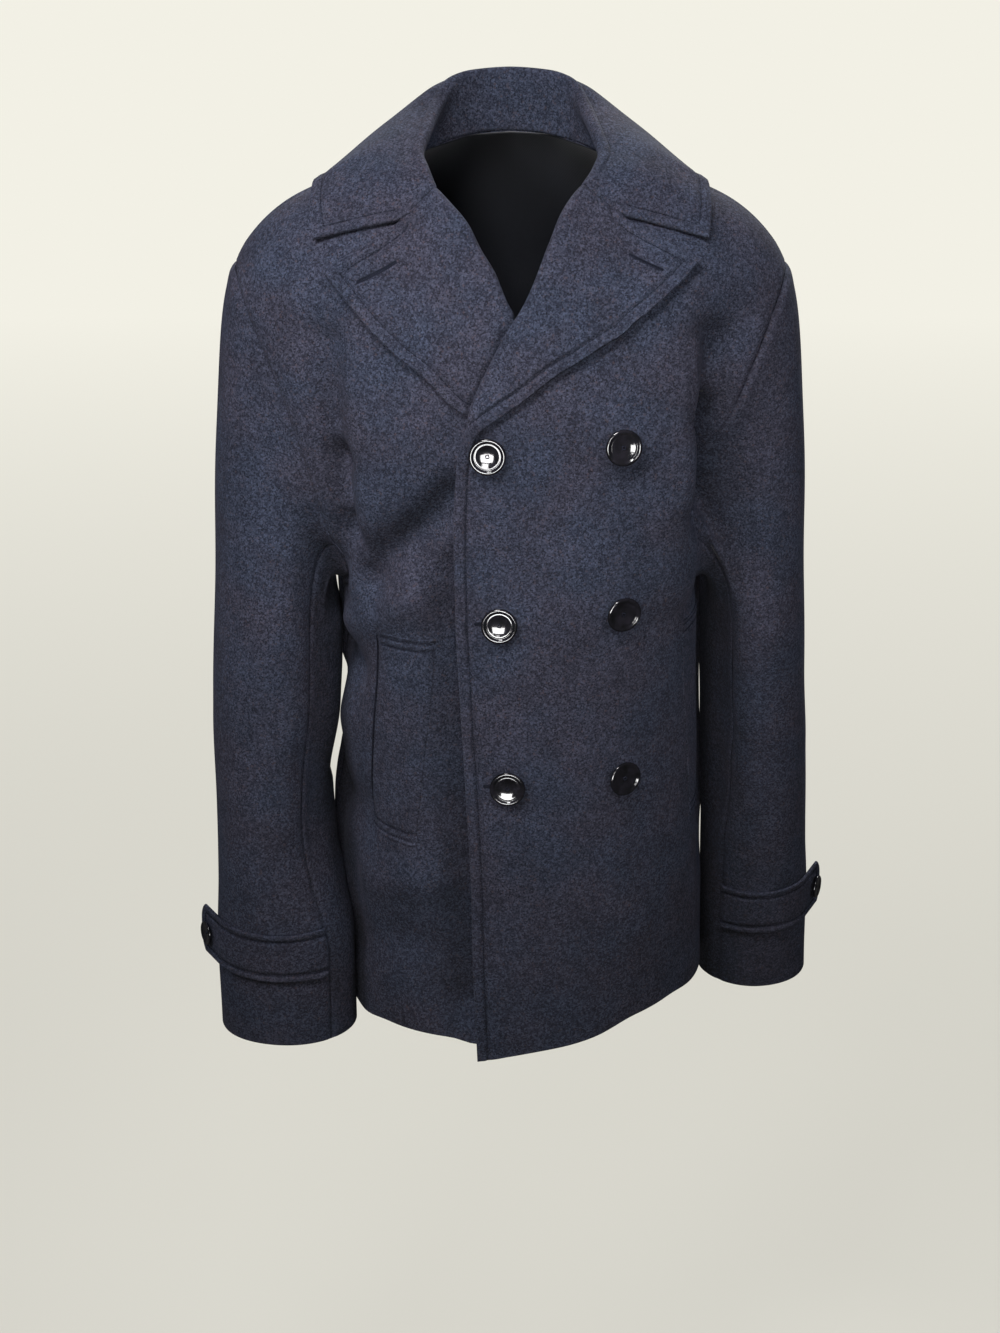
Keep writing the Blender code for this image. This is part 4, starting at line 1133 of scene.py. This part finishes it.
def sleeve_piece(side, hand, sleeve, ring, normals, ring_angle, away, angle):
    """Mid-cloth points and outward directions of a sleeve over some angles, from the armhole
    down."""
    start = around_ring(ring, ring_angle, angle)
    normal = unit(around_ring(normals, ring_angle, angle))
    away = unit(around_ring(away, ring_angle, angle))
    inward = (1 - np.sin(np.radians(angle)))[:, None] / 2
    leave = unit(away + np.array([hand, 0.0, 0.0]) * (CAP_TURN + ARMPIT_TURN * inward))
    end = sleeve_section(hand, sleeve, angle, SLEEVE_TOP)
    below = sleeve_section(hand, sleeve, angle, SLEEVE_TOP - SLEEVE_STEP)
    reach = np.linalg.norm(end - start, axis=1)[:, None]
    leave = leave * (CAP_PULL + CAP_PULL_SHARE * reach)
    arrive = unit(below - end) * reach * ARM_PULL_SHARE
    rows = []
    for t in np.linspace(0, 1, CAP_ROWS + 1)[:-1] ** CAP_SPACING:
        point = (1 + 2 * t) * (1 - t) ** 2 * start + t * t * (3 - 2 * t) * end
        rows.append(point + t * (1 - t) ** 2 * leave + t * t * (t - 1) * arrive)
    cuff = sleeve["z"][0]
    levels = np.linspace(SLEEVE_TOP, cuff, ARM_ROWS + 1)
    levels = np.concatenate([levels[:-1], cuff + EDGE_ROWS[::-1]])
    for z in levels:
        rows.append(sleeve_section(hand, sleeve, angle, z))
    points = np.array(rows)
    facing = grid_normals(points)
    facing[0] = normal
    facing *= np.sign(np.sum(facing[0] * normal))
    row = np.arange(len(points))
    blend = ease(row / SETTLING_ROWS)[:, None, None]
    outward = np.sign(np.sum(facing[SETTLING_ROWS + 1] * normal))
    facing = unit(normal * (1 - blend) + facing * outward * blend)
    height = sleeve_drape(side, angle, points[..., 2]) * ease((row - 1) / FOLDLESS_ROWS)[:, None]
    return points + facing * height[..., None], facing


for side, hand, sleeve, areas in (
    ("left", 1, LEFT_SLEEVE, (0.159, 0.043)),
    ("right", -1, RIGHT_SLEEVE, (0.160, 0.048)),
):
    armhole = sleeve_columns(hand, fronts[side], back)
    first, last = SEAM_ANGLES[side]
    for name, low, high, count, flat, area in (
        ("top_sleeve_", first, last, 84, (0.27, 0.68), areas[0]),
        ("under_sleeve_", last, first + 360, 34, (0.12, 0.53), areas[1]),
    ):
        angle = np.concatenate([
            low + SEAM_TURNS,
            np.linspace(low + SEAM_TURNS[-1], high - SEAM_TURNS[-1], count)[1:-1],
            (high - SEAM_TURNS)[::-1],
        ])
        points, facing = sleeve_piece(side, hand, sleeve, *armhole, angle)
        relief = seam_dip(points, ("first_row", "first_column", "last_column"))
        from_head = distance_to(points[0], points)
        head = ease((np.sin(np.radians(angle)) - HEAD_FROM) / HEAD_REACH)
        relief = relief + HEAD_ROLL * head * hump((from_head - HEAD_ROLL_AT) / HEAD_ROLL_WIDTH)
        piece = make_cloth(
            name + side + "_cloth", points, facing, CLOTH, ("last_row",), relief, [wool, lining], 1,
        )
        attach(piece, "root")
        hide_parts(name + side)

# ---------------------------------------------------------------- the cuff straps
# Each is a band of melton turned in and topstitched, caught in the front sleeve seam, laid round
# the outside of the cuff and buttoned; its end stands off the sleeve.

TRIM = 0.0025
LAY_GAP = 0.0009
STRAP_MIDDLE = {"left": -0.661, "right": -0.650}
STRAP_WIDTH = 0.044
STRAP_EDGE = np.array([-1, -0.94, -0.87, -0.80, -0.75, -0.715, -0.68, -0.63])
STRAP_ACROSS = np.concatenate([STRAP_EDGE, np.linspace(-0.55, 0.55, 15), -STRAP_EDGE[::-1]])
STRAP_COLUMNS = 58
STRAP_LEAVES = 64.8
STRAP_LOOSE = 0.034
LOOSE_SHARES = np.concatenate([np.linspace(0, 0.74, 14)[1:], [0.79, 0.83, 0.87, 0.92, 0.96, 1.0]])
STRAP_ROUNDING = 0.006
STRAP_STITCHED = 0.0062
STRAP_TUCK = 0.005
STRAP_BUTTON = 0.019
cuff_buttons = {}


def sleeve_face(side, hand, sleeve, angle, z, out):
    """Points at a distance out from the middle of a sleeve's cloth, below the armhole."""
    turn, climb = 0.5, 0.0005
    right, left, above, below = (
        sleeve_section(hand, sleeve, angle + aside, z + up)
        for aside, up in ((turn, 0.0), (-turn, 0.0), (0.0, climb), (0.0, -climb))
    )
    facing = unit(np.cross(right - left, above - below)) * hand
    height = sleeve_drape(side, angle, z) + out
    return sleeve_section(hand, sleeve, angle, z) + facing * height[..., None], facing


for side, hand, sleeve, length in (
    ("left", 1, LEFT_SLEEVE, 0.145),
    ("right", -1, RIGHT_SLEEVE, 0.16),
):
    across = STRAP_ACROSS[:, None]
    angle = np.linspace(SEAM_ANGLES[side][0], STRAP_LEAVES, STRAP_COLUMNS)
    from_seam = np.radians(angle - angle[0]) * SLEEVE_RADIUS
    out = (CLOTH / 2 + LAY_GAP + TRIM / 2) * ease(from_seam / STRAP_TUCK) ** 0.5
    z = STRAP_MIDDLE[side] - STRAP_WIDTH / 2 * across
    laid, facing = sleeve_face(side, hand, sleeve, angle, z, out)
    ahead = unit(laid[:, -1] - laid[:, -2]).mean(axis=0)
    loose = (STRAP_LOOSE - STRAP_ROUNDING * across**4) * LOOSE_SHARES
    laid = np.concatenate([laid, laid[:, -1:] + loose[..., None] * ahead], axis=1)
    end_facing = np.repeat(facing[:, -1:], len(LOOSE_SHARES), axis=1)
    facing = np.concatenate([facing, end_facing], axis=1)
    middle = len(across) // 2
    button_foot = laid[middle, STRAP_COLUMNS - 1] + ahead * STRAP_BUTTON
    cuff_buttons[side] = (button_foot, facing[middle, -2])
    free_edge = np.concatenate([laid[0], laid[1:-1, -1], laid[-1, ::-1]])
    relief = edge_relief(distance_to(free_edge, laid), STRAP_STITCHED, EDGE_SWELL / 2)
    piece = make_cloth(
        "cuff_band_" + side, laid, facing, TRIM, ("first_row", "last_row", "last_column"), relief,
        [wool],
    )
    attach(piece, "root")
    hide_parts("cuff_strap_" + side)
    sewn_edges["strap_" + side] = [(free_edge, laid, facing, TRIM / 2, STRAP_STITCHED)]

# ---------------------------------------------------------------- the pocket welts
# A slanted slit pocket in each front: a narrow strip of melton covers its mouth, sewn in along the
# inner side and stitched down twice at the top and the bottom, so that only the outer side gapes.

WELT_TOP = -0.3545
WELT_BOTTOM = -0.5405
WELTS = {
    "left": {"inner": (58.0, 63.0), "outer": (76.5, 81.5)},
    "right": {"inner": (-26.7, -33.5), "outer": (-45.5, -52.3)},
}
WELT_CLOTH = 0.0016
WELT_INNER_LIFT = 0.0010
WELT_LIP = 0.0014
WELT_GAPE = 0.0012
WELT_HELD = 0.10
WELT_END_LIFT = 0.7
WELT_LIFT_REACH = 0.9
WELT_DOWN = np.concatenate([np.linspace(0, 0.08, 20), np.linspace(0.10, 0.90, 40)])
WELT_DOWN = np.concatenate([WELT_DOWN, 1 - WELT_DOWN[19::-1]])
WELT_ACROSS = np.concatenate([
    [0, 0.025, 0.06, 0.11], np.linspace(0.18, 0.88, 12), [0.93, 0.97, 1.0],
])
BAR_ROWS = (0.004, 0.011)
BAR_DIP = 0.0017
BAR_WIDTH = 0.0012

for side, hand in (("left", 1), ("right", -1)):
    down, across = WELT_DOWN[:, None], WELT_ACROSS
    inner, outer = (between(*ends, down) for ends in WELTS[side].values())
    around = between(inner, outer, across)
    level = between(WELT_TOP, WELT_BOTTOM, down)
    held = ease(down / WELT_HELD) * ease((1 - down) / WELT_HELD)
    rise = ease(across / WELT_LIFT_REACH) * between(WELT_END_LIFT, 1.0, held)
    lift = between(WELT_INNER_LIFT, WELT_LIP, rise)
    gape = WELT_GAPE * np.sin(np.pi * down) * across**3
    out = CLOTH / 2 - WELT_CLOTH / 2 + lift + gape
    points, facing = on_front(hand, around, level, out)
    ends = np.minimum(distance_to(points[0], points), distance_to(points[-1], points))
    relief = -BAR_DIP * sum(hump((ends - row) / BAR_WIDTH) for row in BAR_ROWS)
    piece = make_cloth(
        "pocket_strip_" + side, points, facing, WELT_CLOTH,
        ("first_row", "last_row", "first_column", "last_column"), relief, [wool],
    )
    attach(piece, "root")
    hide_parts("pocket_welt_" + side)
    sewn_edges["welt_" + side] = [
        (end, points, facing, WELT_CLOTH / 2, row)
        for end in (points[0], points[-1]) for row in BAR_ROWS
    ]

# ---------------------------------------------------------------- the buttons
# Four-hole coat buttons of black polyester resin, turned and polished: a rounded rim, a narrow
# groove inside it and a shallow dish. Six on the fronts, and a smaller one on each cuff strap.

BUTTON_BACK = 0.0098
BUTTON_GAP = 0.0013
# Each ring of the turning, from the back's edge over the rim to the middle of the dish: radius and
# height, in millimetres.
BUTTON_TURNING = (
    (11.8, 0.6), (13.5, 1.4), (14.3, 2.2), (14.5, 2.8), (14.4, 3.4), (14.0, 3.9), (13.4, 4.25),
    (12.8, 4.35), (12.2, 4.25), (11.6, 3.9), (11.1, 3.35), (10.7, 2.95), (10.3, 2.9), (9.9, 3.0),
    (9.4, 3.02), (8.6, 2.85), (7.4, 2.55), (6.0, 2.27), (4.4, 2.06), (2.8, 1.95), (1.2, 1.9),
)
BUTTON_TURNS = 56
CUFF_BUTTON_SCALE = 0.72
BUTTON_PLACES = table(
    "x level",
    (-0.0266, -0.2029),
    (-0.0174, -0.3321),
    (-0.0109, -0.4724),
    (0.0751, -0.1907),
    (0.0772, -0.3270),
    (0.0801, -0.4730),
)
THREAD_TURNS = (12, -20, 38, 5, -8, 24, 15, -15)
STRAND_SIZE = (0.0016, 0.00042, 0.00042)
STRAND_PLACE = (0, 0.0012, 0.0021)

bpy.ops.object.select_all(action="DESELECT")
bpy.ops.mesh.primitive_circle_add(vertices=BUTTON_TURNS, radius=BUTTON_BACK, fill_type="NGON")
button = bpy.context.active_object
button.name = "button_pattern"
bpy.ops.object.mode_set(mode="EDIT")
bpy.ops.mesh.select_all(action="SELECT")
radius, height = BUTTON_BACK * 1000, 0.0
for ring_radius, ring_height in BUTTON_TURNING:
    rise = (ring_height - height) / 1000
    bpy.ops.mesh.extrude_region_move(TRANSFORM_OT_translate={"value": (0, 0, rise)})
    bpy.ops.transform.resize(value=(ring_radius / radius, ring_radius / radius, 1))
    radius, height = ring_radius, ring_height
bpy.ops.mesh.poke()
bpy.ops.mesh.select_all(action="SELECT")
bpy.ops.mesh.normals_make_consistent(inside=False)
bpy.ops.object.mode_set(mode="OBJECT")
bpy.ops.object.shade_smooth()

# Black polyester resin: cast in rods, turned and tumbled to a wet gloss, so that it mirrors the
# lamps in its rim and its dish and is otherwise black.
resin, resin_shader = start_material("polyester_resin", {
    "Roughness": 0.10, "Specular IOR Level": 0.3, "IOR": 1.56,
})
resin_place = add_node(resin, "ShaderNodeTexCoord", {}, {}).outputs["Object"]
resin_cloud = add_node(
    resin, "ShaderNodeTexNoise", {"Scale": 160.0, "Detail": 3.0}, {"Vector": resin_place},
).outputs["Fac"]
resin_colour = add_node(
    resin, "ShaderNodeValToRGB", {"stops": [(0.35, "08080a"), (0.7, "16151a")]},
    {"Fac": resin_cloud},
).outputs["Color"]
link(resin, resin_shader, Base_Color=resin_colour)
button.data.materials.append(resin)


def bead(segments, rings, size, turn):
    """A small ellipsoid of a given size, its poles first turned about Y."""
    bpy.ops.object.select_all(action="DESELECT")
    bpy.ops.mesh.primitive_uv_sphere_add(segments=segments, ring_count=rings, radius=1.0)
    bpy.ops.object.mode_set(mode="EDIT")
    bpy.ops.mesh.select_all(action="SELECT")
    bpy.ops.transform.rotate(value=turn, orient_axis="Y", center_override=(0, 0, 0))
    bpy.ops.transform.resize(value=size)
    bpy.ops.object.mode_set(mode="OBJECT")
    bpy.ops.object.shade_smooth()
    return bpy.context.active_object


# The thread that holds a button: four short strands between its holes.
strand = bead(10, 6, STRAND_SIZE, 0.0)

# Core-spun polyester thread, dyed navy: a slight silkiness on a matt twist, ribs 0.5 mm apart.
thread, thread_shader = start_material("polyester_thread", {
    "Roughness": 0.80, "Specular IOR Level": 0.05,
})
thread_place = add_node(thread, "ShaderNodeTexCoord", {}, {}).outputs["Object"]
twist = add_node(
    thread, "ShaderNodeTexWave", {"Scale": 600.0, "bands_direction": "DIAGONAL"},
    {"Vector": thread_place},
).outputs["Fac"]
thread_colour = add_node(
    thread, "ShaderNodeValToRGB", {"stops": [(0.2, "090a10"), (0.8, "171923")]}, {"Fac": twist},
).outputs["Color"]
link(thread, thread_shader, Base_Color=thread_colour)
strand.data.materials.append(thread)

button_places = []
for x, level in zip(*BUTTON_PLACES.values()):
    place, facing = on_front(1, around_of(x, level), np.array(level), CLOTH / 2 + BUTTON_GAP)
    button_places.append(("button_" + str(len(button_places) + 1), place, facing, 1.0))
for side, (place, facing) in cuff_buttons.items():
    place = place + facing * (TRIM / 2 + BUTTON_GAP)
    button_places.append(("button_cuff_" + side, place, facing, CUFF_BUTTON_SCALE))
for (node, place, facing, scale), turn in zip(button_places, THREAD_TURNS):
    across = unit(np.cross([0.0, 0.0, 1.0], facing))
    frame_of = Matrix.Identity(4)
    for column, direction in enumerate((across, np.cross(facing, across), facing)):
        frame_of.col[column][:3] = direction * scale
    frame_of.col[3][:3] = place
    copy = bpy.data.objects.new("resin_" + node, button.data.copy())
    copy.data.transform(frame_of @ Matrix.Rotation(math.radians(turn), 4, "Z"))
    bpy.context.scene.collection.objects.link(copy)
    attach(copy, "root")
    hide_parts(node)
    for number in range(4):
        strand_turn = Matrix.Rotation(math.radians(turn + 90 * number), 4, "Z")
        copy = bpy.data.objects.new("thread_" + node + "_" + str(number + 1), strand.data.copy())
        copy.data.transform(frame_of @ strand_turn @ Matrix.Translation(STRAND_PLACE))
        bpy.context.scene.collection.objects.link(copy)
        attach(copy, "root")
bpy.data.objects.remove(button)
bpy.data.objects.remove(strand)

# ---------------------------------------------------------------- the topstitching
# A lockstitch of heavy navy thread runs along every turned edge, drawn tight, so that each stitch
# lies in the groove that it pulls. Two short rows of it close each end of the pocket welts.

STITCH_PITCH = 0.0033
STITCH_SIZE = (0.00140, 0.00036, 0.00030)
STITCH_SUNK = 0.0003
LEAST_INSIDE = 0.96

stitch = bead(6, 4, STITCH_SIZE, math.pi / 2)
stitch_shape = np.array([tuple(vertex.co) for vertex in stitch.data.vertices])
stitch_faces = [tuple(face.vertices) for face in stitch.data.polygons]
bpy.data.objects.remove(stitch)


def on_cloth(points, grid, facing, half):
    """Put points on the outer face of a piece of cloth: the points, and the ways the face looks."""
    half = np.broadcast_to(half, grid.shape[:2]).reshape(-1, 1)
    flat, looks = grid.reshape(-1, 3), facing.reshape(-1, 3)
    nearest = [int(np.argmin(np.sum((flat - point) ** 2, axis=1))) for point in points]
    gap = np.sum((points - flat[nearest]) * looks[nearest], axis=1, keepdims=True)
    return points + looks[nearest] * (half[nearest] - gap), looks[nearest]


def stitches_inside(edge, grid, facing, half, distance):
    """Places and directions of the stitches that run at a distance inside an edge."""
    run = lengths_along(edge[None], 1)[0]
    at = np.arange(STITCH_PITCH, run[-1], STITCH_PITCH)
    start, end = (
        each_column(np.interp, at + move, run, edge)
        for move in (-STITCH_PITCH / 2, STITCH_PITCH / 2)
    )
    middle, along = (start + end) / 2, unit(end - start)
    inward = unit(np.cross(on_cloth(middle, grid, facing, half)[1], along))
    choices = []
    for way in (distance, -distance):
        places, looks = on_cloth(middle + inward * way, grid, facing, half)
        off = np.mean([np.min(np.sum((grid - place) ** 2, axis=-1)) for place in places])
        choices.append((off, way, places, looks))
    off, way, places, looks = min(choices, key=lambda choice: choice[0])
    kept = distance_to(edge, places - looks * np.mean(half)) > distance * LEAST_INSIDE
    return places[kept], along[kept], looks[kept]


def sew(name, places, along, looks, shape):
    """Make one piece of many small stitches, each laid along its own direction."""
    beside = unit(np.cross(looks, along))
    ahead = np.cross(beside, looks)
    points = [
        place + shape[:, :1] * a + shape[:, 1:2] * b + shape[:, 2:] * c
        for place, a, b, c in zip(places, ahead, beside, looks)
    ]
    count = len(shape)
    mesh = bpy.data.meshes.new(name)
    mesh.from_pydata(
        np.concatenate(points).tolist(), [],
        [tuple(k + i * count for k in face) for i in range(len(places)) for face in stitch_faces],
    )
    mesh.materials.append(thread)
    mesh.shade_smooth()
    piece = bpy.data.objects.new(name, mesh)
    bpy.context.scene.collection.objects.link(piece)
    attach(piece, "root")


for name, lines in sewn_edges.items():
    parts = [stitches_inside(*line) for line in lines]
    places, along, looks = (np.concatenate(part) for part in zip(*parts))
    sew("topstitch_" + name, places - looks * STITCH_SUNK, along, looks, stitch_shape)

# ---------------------------------------------------------------- the buttonholes
# Each is a slit cut through the cloth and worked by machine: close stitches bind its lips. A line
# of small dark beads sunk in the slit between them is painted shade, standing for the shadow in the
# opening. Three lie under the buttons beside the front edge, and one near the point of each lapel.

HOLE_PITCH = 0.0006
HOLE_LIP = 0.0009
HOLE_SUNK = 0.0001
HOLE_FAN = np.radians([-75, -38, 0, 38, 75])
HOLE_LIPS = (0.62, 1.05, 1.1)
HOLE_SHADE_SIZE = (1.0, 0.75, 0.4)
LAPEL_OUT = 0.0065
HOLES = (
    ("front_1", "front_left", 1, (-0.0446, -0.2029), (-0.0206, -0.2029)),
    ("front_2", "front_left", 1, (-0.0358, -0.3321), (-0.0114, -0.3321)),
    ("front_3", "front_left", 1, (-0.0291, -0.4724), (-0.0049, -0.4724)),
    ("lapel_left", "lapel_left", 1, (0.0796, -0.0547), (0.1035, -0.0617)),
    ("lapel_right", "lapel_right", -1, (-0.1250, -0.0681), (-0.0963, -0.0585)),
)

for name, carrier, hand, start, end in HOLES:
    edge, grid, facing, half, distance = sewn_edges[carrier][0]
    share = np.linspace(0, 1, int(math.dist(start, end) / HOLE_PITCH))
    x, level = along_line((start, end), share)
    out = LAPEL_OUT if carrier.startswith("lapel") else CLOTH / 2
    slit, looks = on_cloth(on_front(hand, around_of(x, level), level, out)[0], grid, facing, half)
    along = unit(np.gradient(slit, axis=0))
    beside = unit(np.cross(looks, along))
    places, ways = [slit + beside * HOLE_LIP, slit - beside * HOLE_LIP], [beside, beside]
    for tip, way in ((0, -1), (-1, 1)):
        spokes = way * along[tip] * np.cos(HOLE_FAN)[:, None]
        spokes = spokes + beside[tip] * np.sin(HOLE_FAN)[:, None]
        places.append(slit[tip] + spokes * HOLE_LIP)
        ways.append(spokes)
    count = len(HOLE_FAN)
    at_tips = [np.repeat(looks[tip:tip + 1 or None], count, 0) for tip in (0, -1)]
    looking, lips = np.concatenate([looks, looks, *at_tips]), stitch_shape * HOLE_LIPS
    sew("buttonhole_" + name, np.concatenate(places), np.concatenate(ways), looking, lips)
    # Painted shade: dark beads along the slit stand for the shadow in the opening.
    sew("slit_shade_" + name, slit + looks * HOLE_SUNK, along, looks, stitch_shape * HOLE_SHADE_SIZE)

# ---------------------------------------------------------------- the pocket mouths
# The slit of each pocket runs beside the welt's outer edge, cut through the front. Along it lies
# a close row of dark thread beads, widened and sunk below the front's face: painted shade that
# stands for the shadow in the slot and shows as a dark line.

MOUTH_SUNK = 0.0007
MOUTH_ENDS = 0.03
MOUTH_PITCH = 0.0012
MOUTH_SHADE_SIZE = (0.9, 2.4, 0.6)

for side, hand in (("left", 1), ("right", -1)):
    share = np.linspace(MOUTH_ENDS, 1 - MOUTH_ENDS, int((WELT_TOP - WELT_BOTTOM) / MOUTH_PITCH))
    slit, looks = on_front(hand, *along_line(MOUTHS[hand], share), CLOTH / 2 - MOUTH_SUNK)
    along = unit(np.gradient(slit, axis=0))
    # Painted shade: the dark beads fill the slot where there is only its shadow.
    sew("pocket_slot_shade_" + side, slit, along, looks, stitch_shape * MOUTH_SHADE_SIZE)

# ---------------------------------------------------------------- the floor, light and camera
# A plain pale floor well below the coat, soft lights above and beside its front, and the camera a
# little above the shoulders, looking down at the coat. The floor's pale tone is painted light: it
# glows by its own emission, brighter further back and dimmer in front, rather than being lit.

FLOOR_LEVEL = -1.36
bpy.ops.object.select_all(action="DESELECT")
bpy.ops.mesh.primitive_plane_add(size=60, location=(0, 0, FLOOR_LEVEL))
floor = bpy.context.active_object
floor.name = "studio_floor"
glowing_floor, glowing_floor_shader = start_material("floor_with_painted_glow", {
    "Roughness": 0.8, "Emission Color": hex_colour("f3f1e6"),
})
floor_place = add_node(glowing_floor, "ShaderNodeTexCoord", {}, {}).outputs["Object"]
mottle = add_node(
    glowing_floor, "ShaderNodeTexNoise", {"Scale": 1.5, "Detail": 3.0}, {"Vector": floor_place},
).outputs["Fac"]
floor_colour = add_node(
    glowing_floor, "ShaderNodeValToRGB", {"stops": [(0.3, "4a4945"), (0.7, "504f4b")]}, {"Fac": mottle},
).outputs["Color"]
# Painted light: the floor's glow grows from front to back, standing for the fall of the lamps'
# light.
floor_depth = add_node(glowing_floor, "ShaderNodeSeparateXYZ", {}, {"Vector": floor_place})
glow = add_node(
    glowing_floor, "ShaderNodeMapRange",
    {"From Min": 0.2, "From Max": 4.5, "To Min": 0.63, "To Max": 0.98},
    {"Value": floor_depth.outputs["Y"]},
)
link(glowing_floor, glowing_floor_shader, Base_Color=floor_colour, Emission_Strength=glow.outputs["Result"])
floor.data.materials.append(glowing_floor)
floor.visible_diffuse = False
floor.visible_glossy = False

world = bpy.data.worlds.new("studio")
bpy.context.scene.world = world
world.use_nodes = True
background = world.node_tree.nodes["Background"]
background.inputs["Color"].default_value = hex_colour("f2f0ea")
seen = add_node(world, "ShaderNodeLightPath", {}, {})
strength = add_node(
    world, "ShaderNodeMapRange", {"To Min": 0.08, "To Max": 0.80},
    {"Value": seen.outputs["Is Camera Ray"]},
)
world.node_tree.links.new(strength.outputs["Result"], background.inputs["Strength"])

# The key and the two side lights model the cloth from above and from both sides; the card is seen
# only by the buttons, which mirror it.
for name, place, target, size, power, spread in (
    ("key", (-0.35, -0.95, 1.15), (0.0, 0.0, -0.20), (0.5, 0.3), 4.6, 60),
    ("front", (0.00, -1.60, 0.15), (0.0, 0.0, -0.27), (0.4, 0.3), 0.6, 32),
    ("side_left", (1.6, -1.2, 0.45), (0.0, 0.0, -0.24), (0.7, 0.7), 3.2, 56),
    ("side_right", (-1.4, -1.2, 1.10), (0.0, 0.0, -0.20), (0.5, 0.5), 5.5, 52),
    ("fill_back", (0.6, 2.4, 1.4), (0.0, 0.0, -0.3), (1.8, 1.2), 24, 60),
    ("card", (-0.20, -3.2, -0.40), (0.0, 0.0, -0.35), (1.5, 0.9), 80, 120),
):
    lamp = bpy.data.lights.new(name, "AREA")
    lamp.shape, lamp.size, lamp.size_y, lamp.energy = "RECTANGLE", *size, power
    lamp.spread = math.radians(spread)
    lamp_object = bpy.data.objects.new(name, lamp)
    lamp_object.location = place
    aim = Vector(target) - Vector(place)
    lamp_object.rotation_euler = aim.to_track_quat("-Z", "Y").to_euler()
    bpy.context.scene.collection.objects.link(lamp_object)
    lamp_object.visible_camera = False
    lamp_object.visible_diffuse = name != "card"
    lamp_object.visible_glossy = not name.startswith("side")

CAMERA_PLACE = (-0.0174, -1.8271, 0.3785)
CAMERA_PITCH = 66
FOCAL_PIXELS = 2300
IMAGE_HEIGHT = 1333
camera_data = bpy.data.cameras.new("camera")
camera_data.sensor_fit = "VERTICAL"
camera_data.sensor_height = 36.0
camera_data.lens = FOCAL_PIXELS / IMAGE_HEIGHT * camera_data.sensor_height
camera = bpy.data.objects.new("camera", camera_data)
camera.location = CAMERA_PLACE
camera.rotation_euler = (math.radians(CAMERA_PITCH), 0.0, 0.0)
bpy.context.scene.collection.objects.link(camera)
bpy.context.scene.camera = camera
bpy.context.scene.view_settings.view_transform = "Standard"
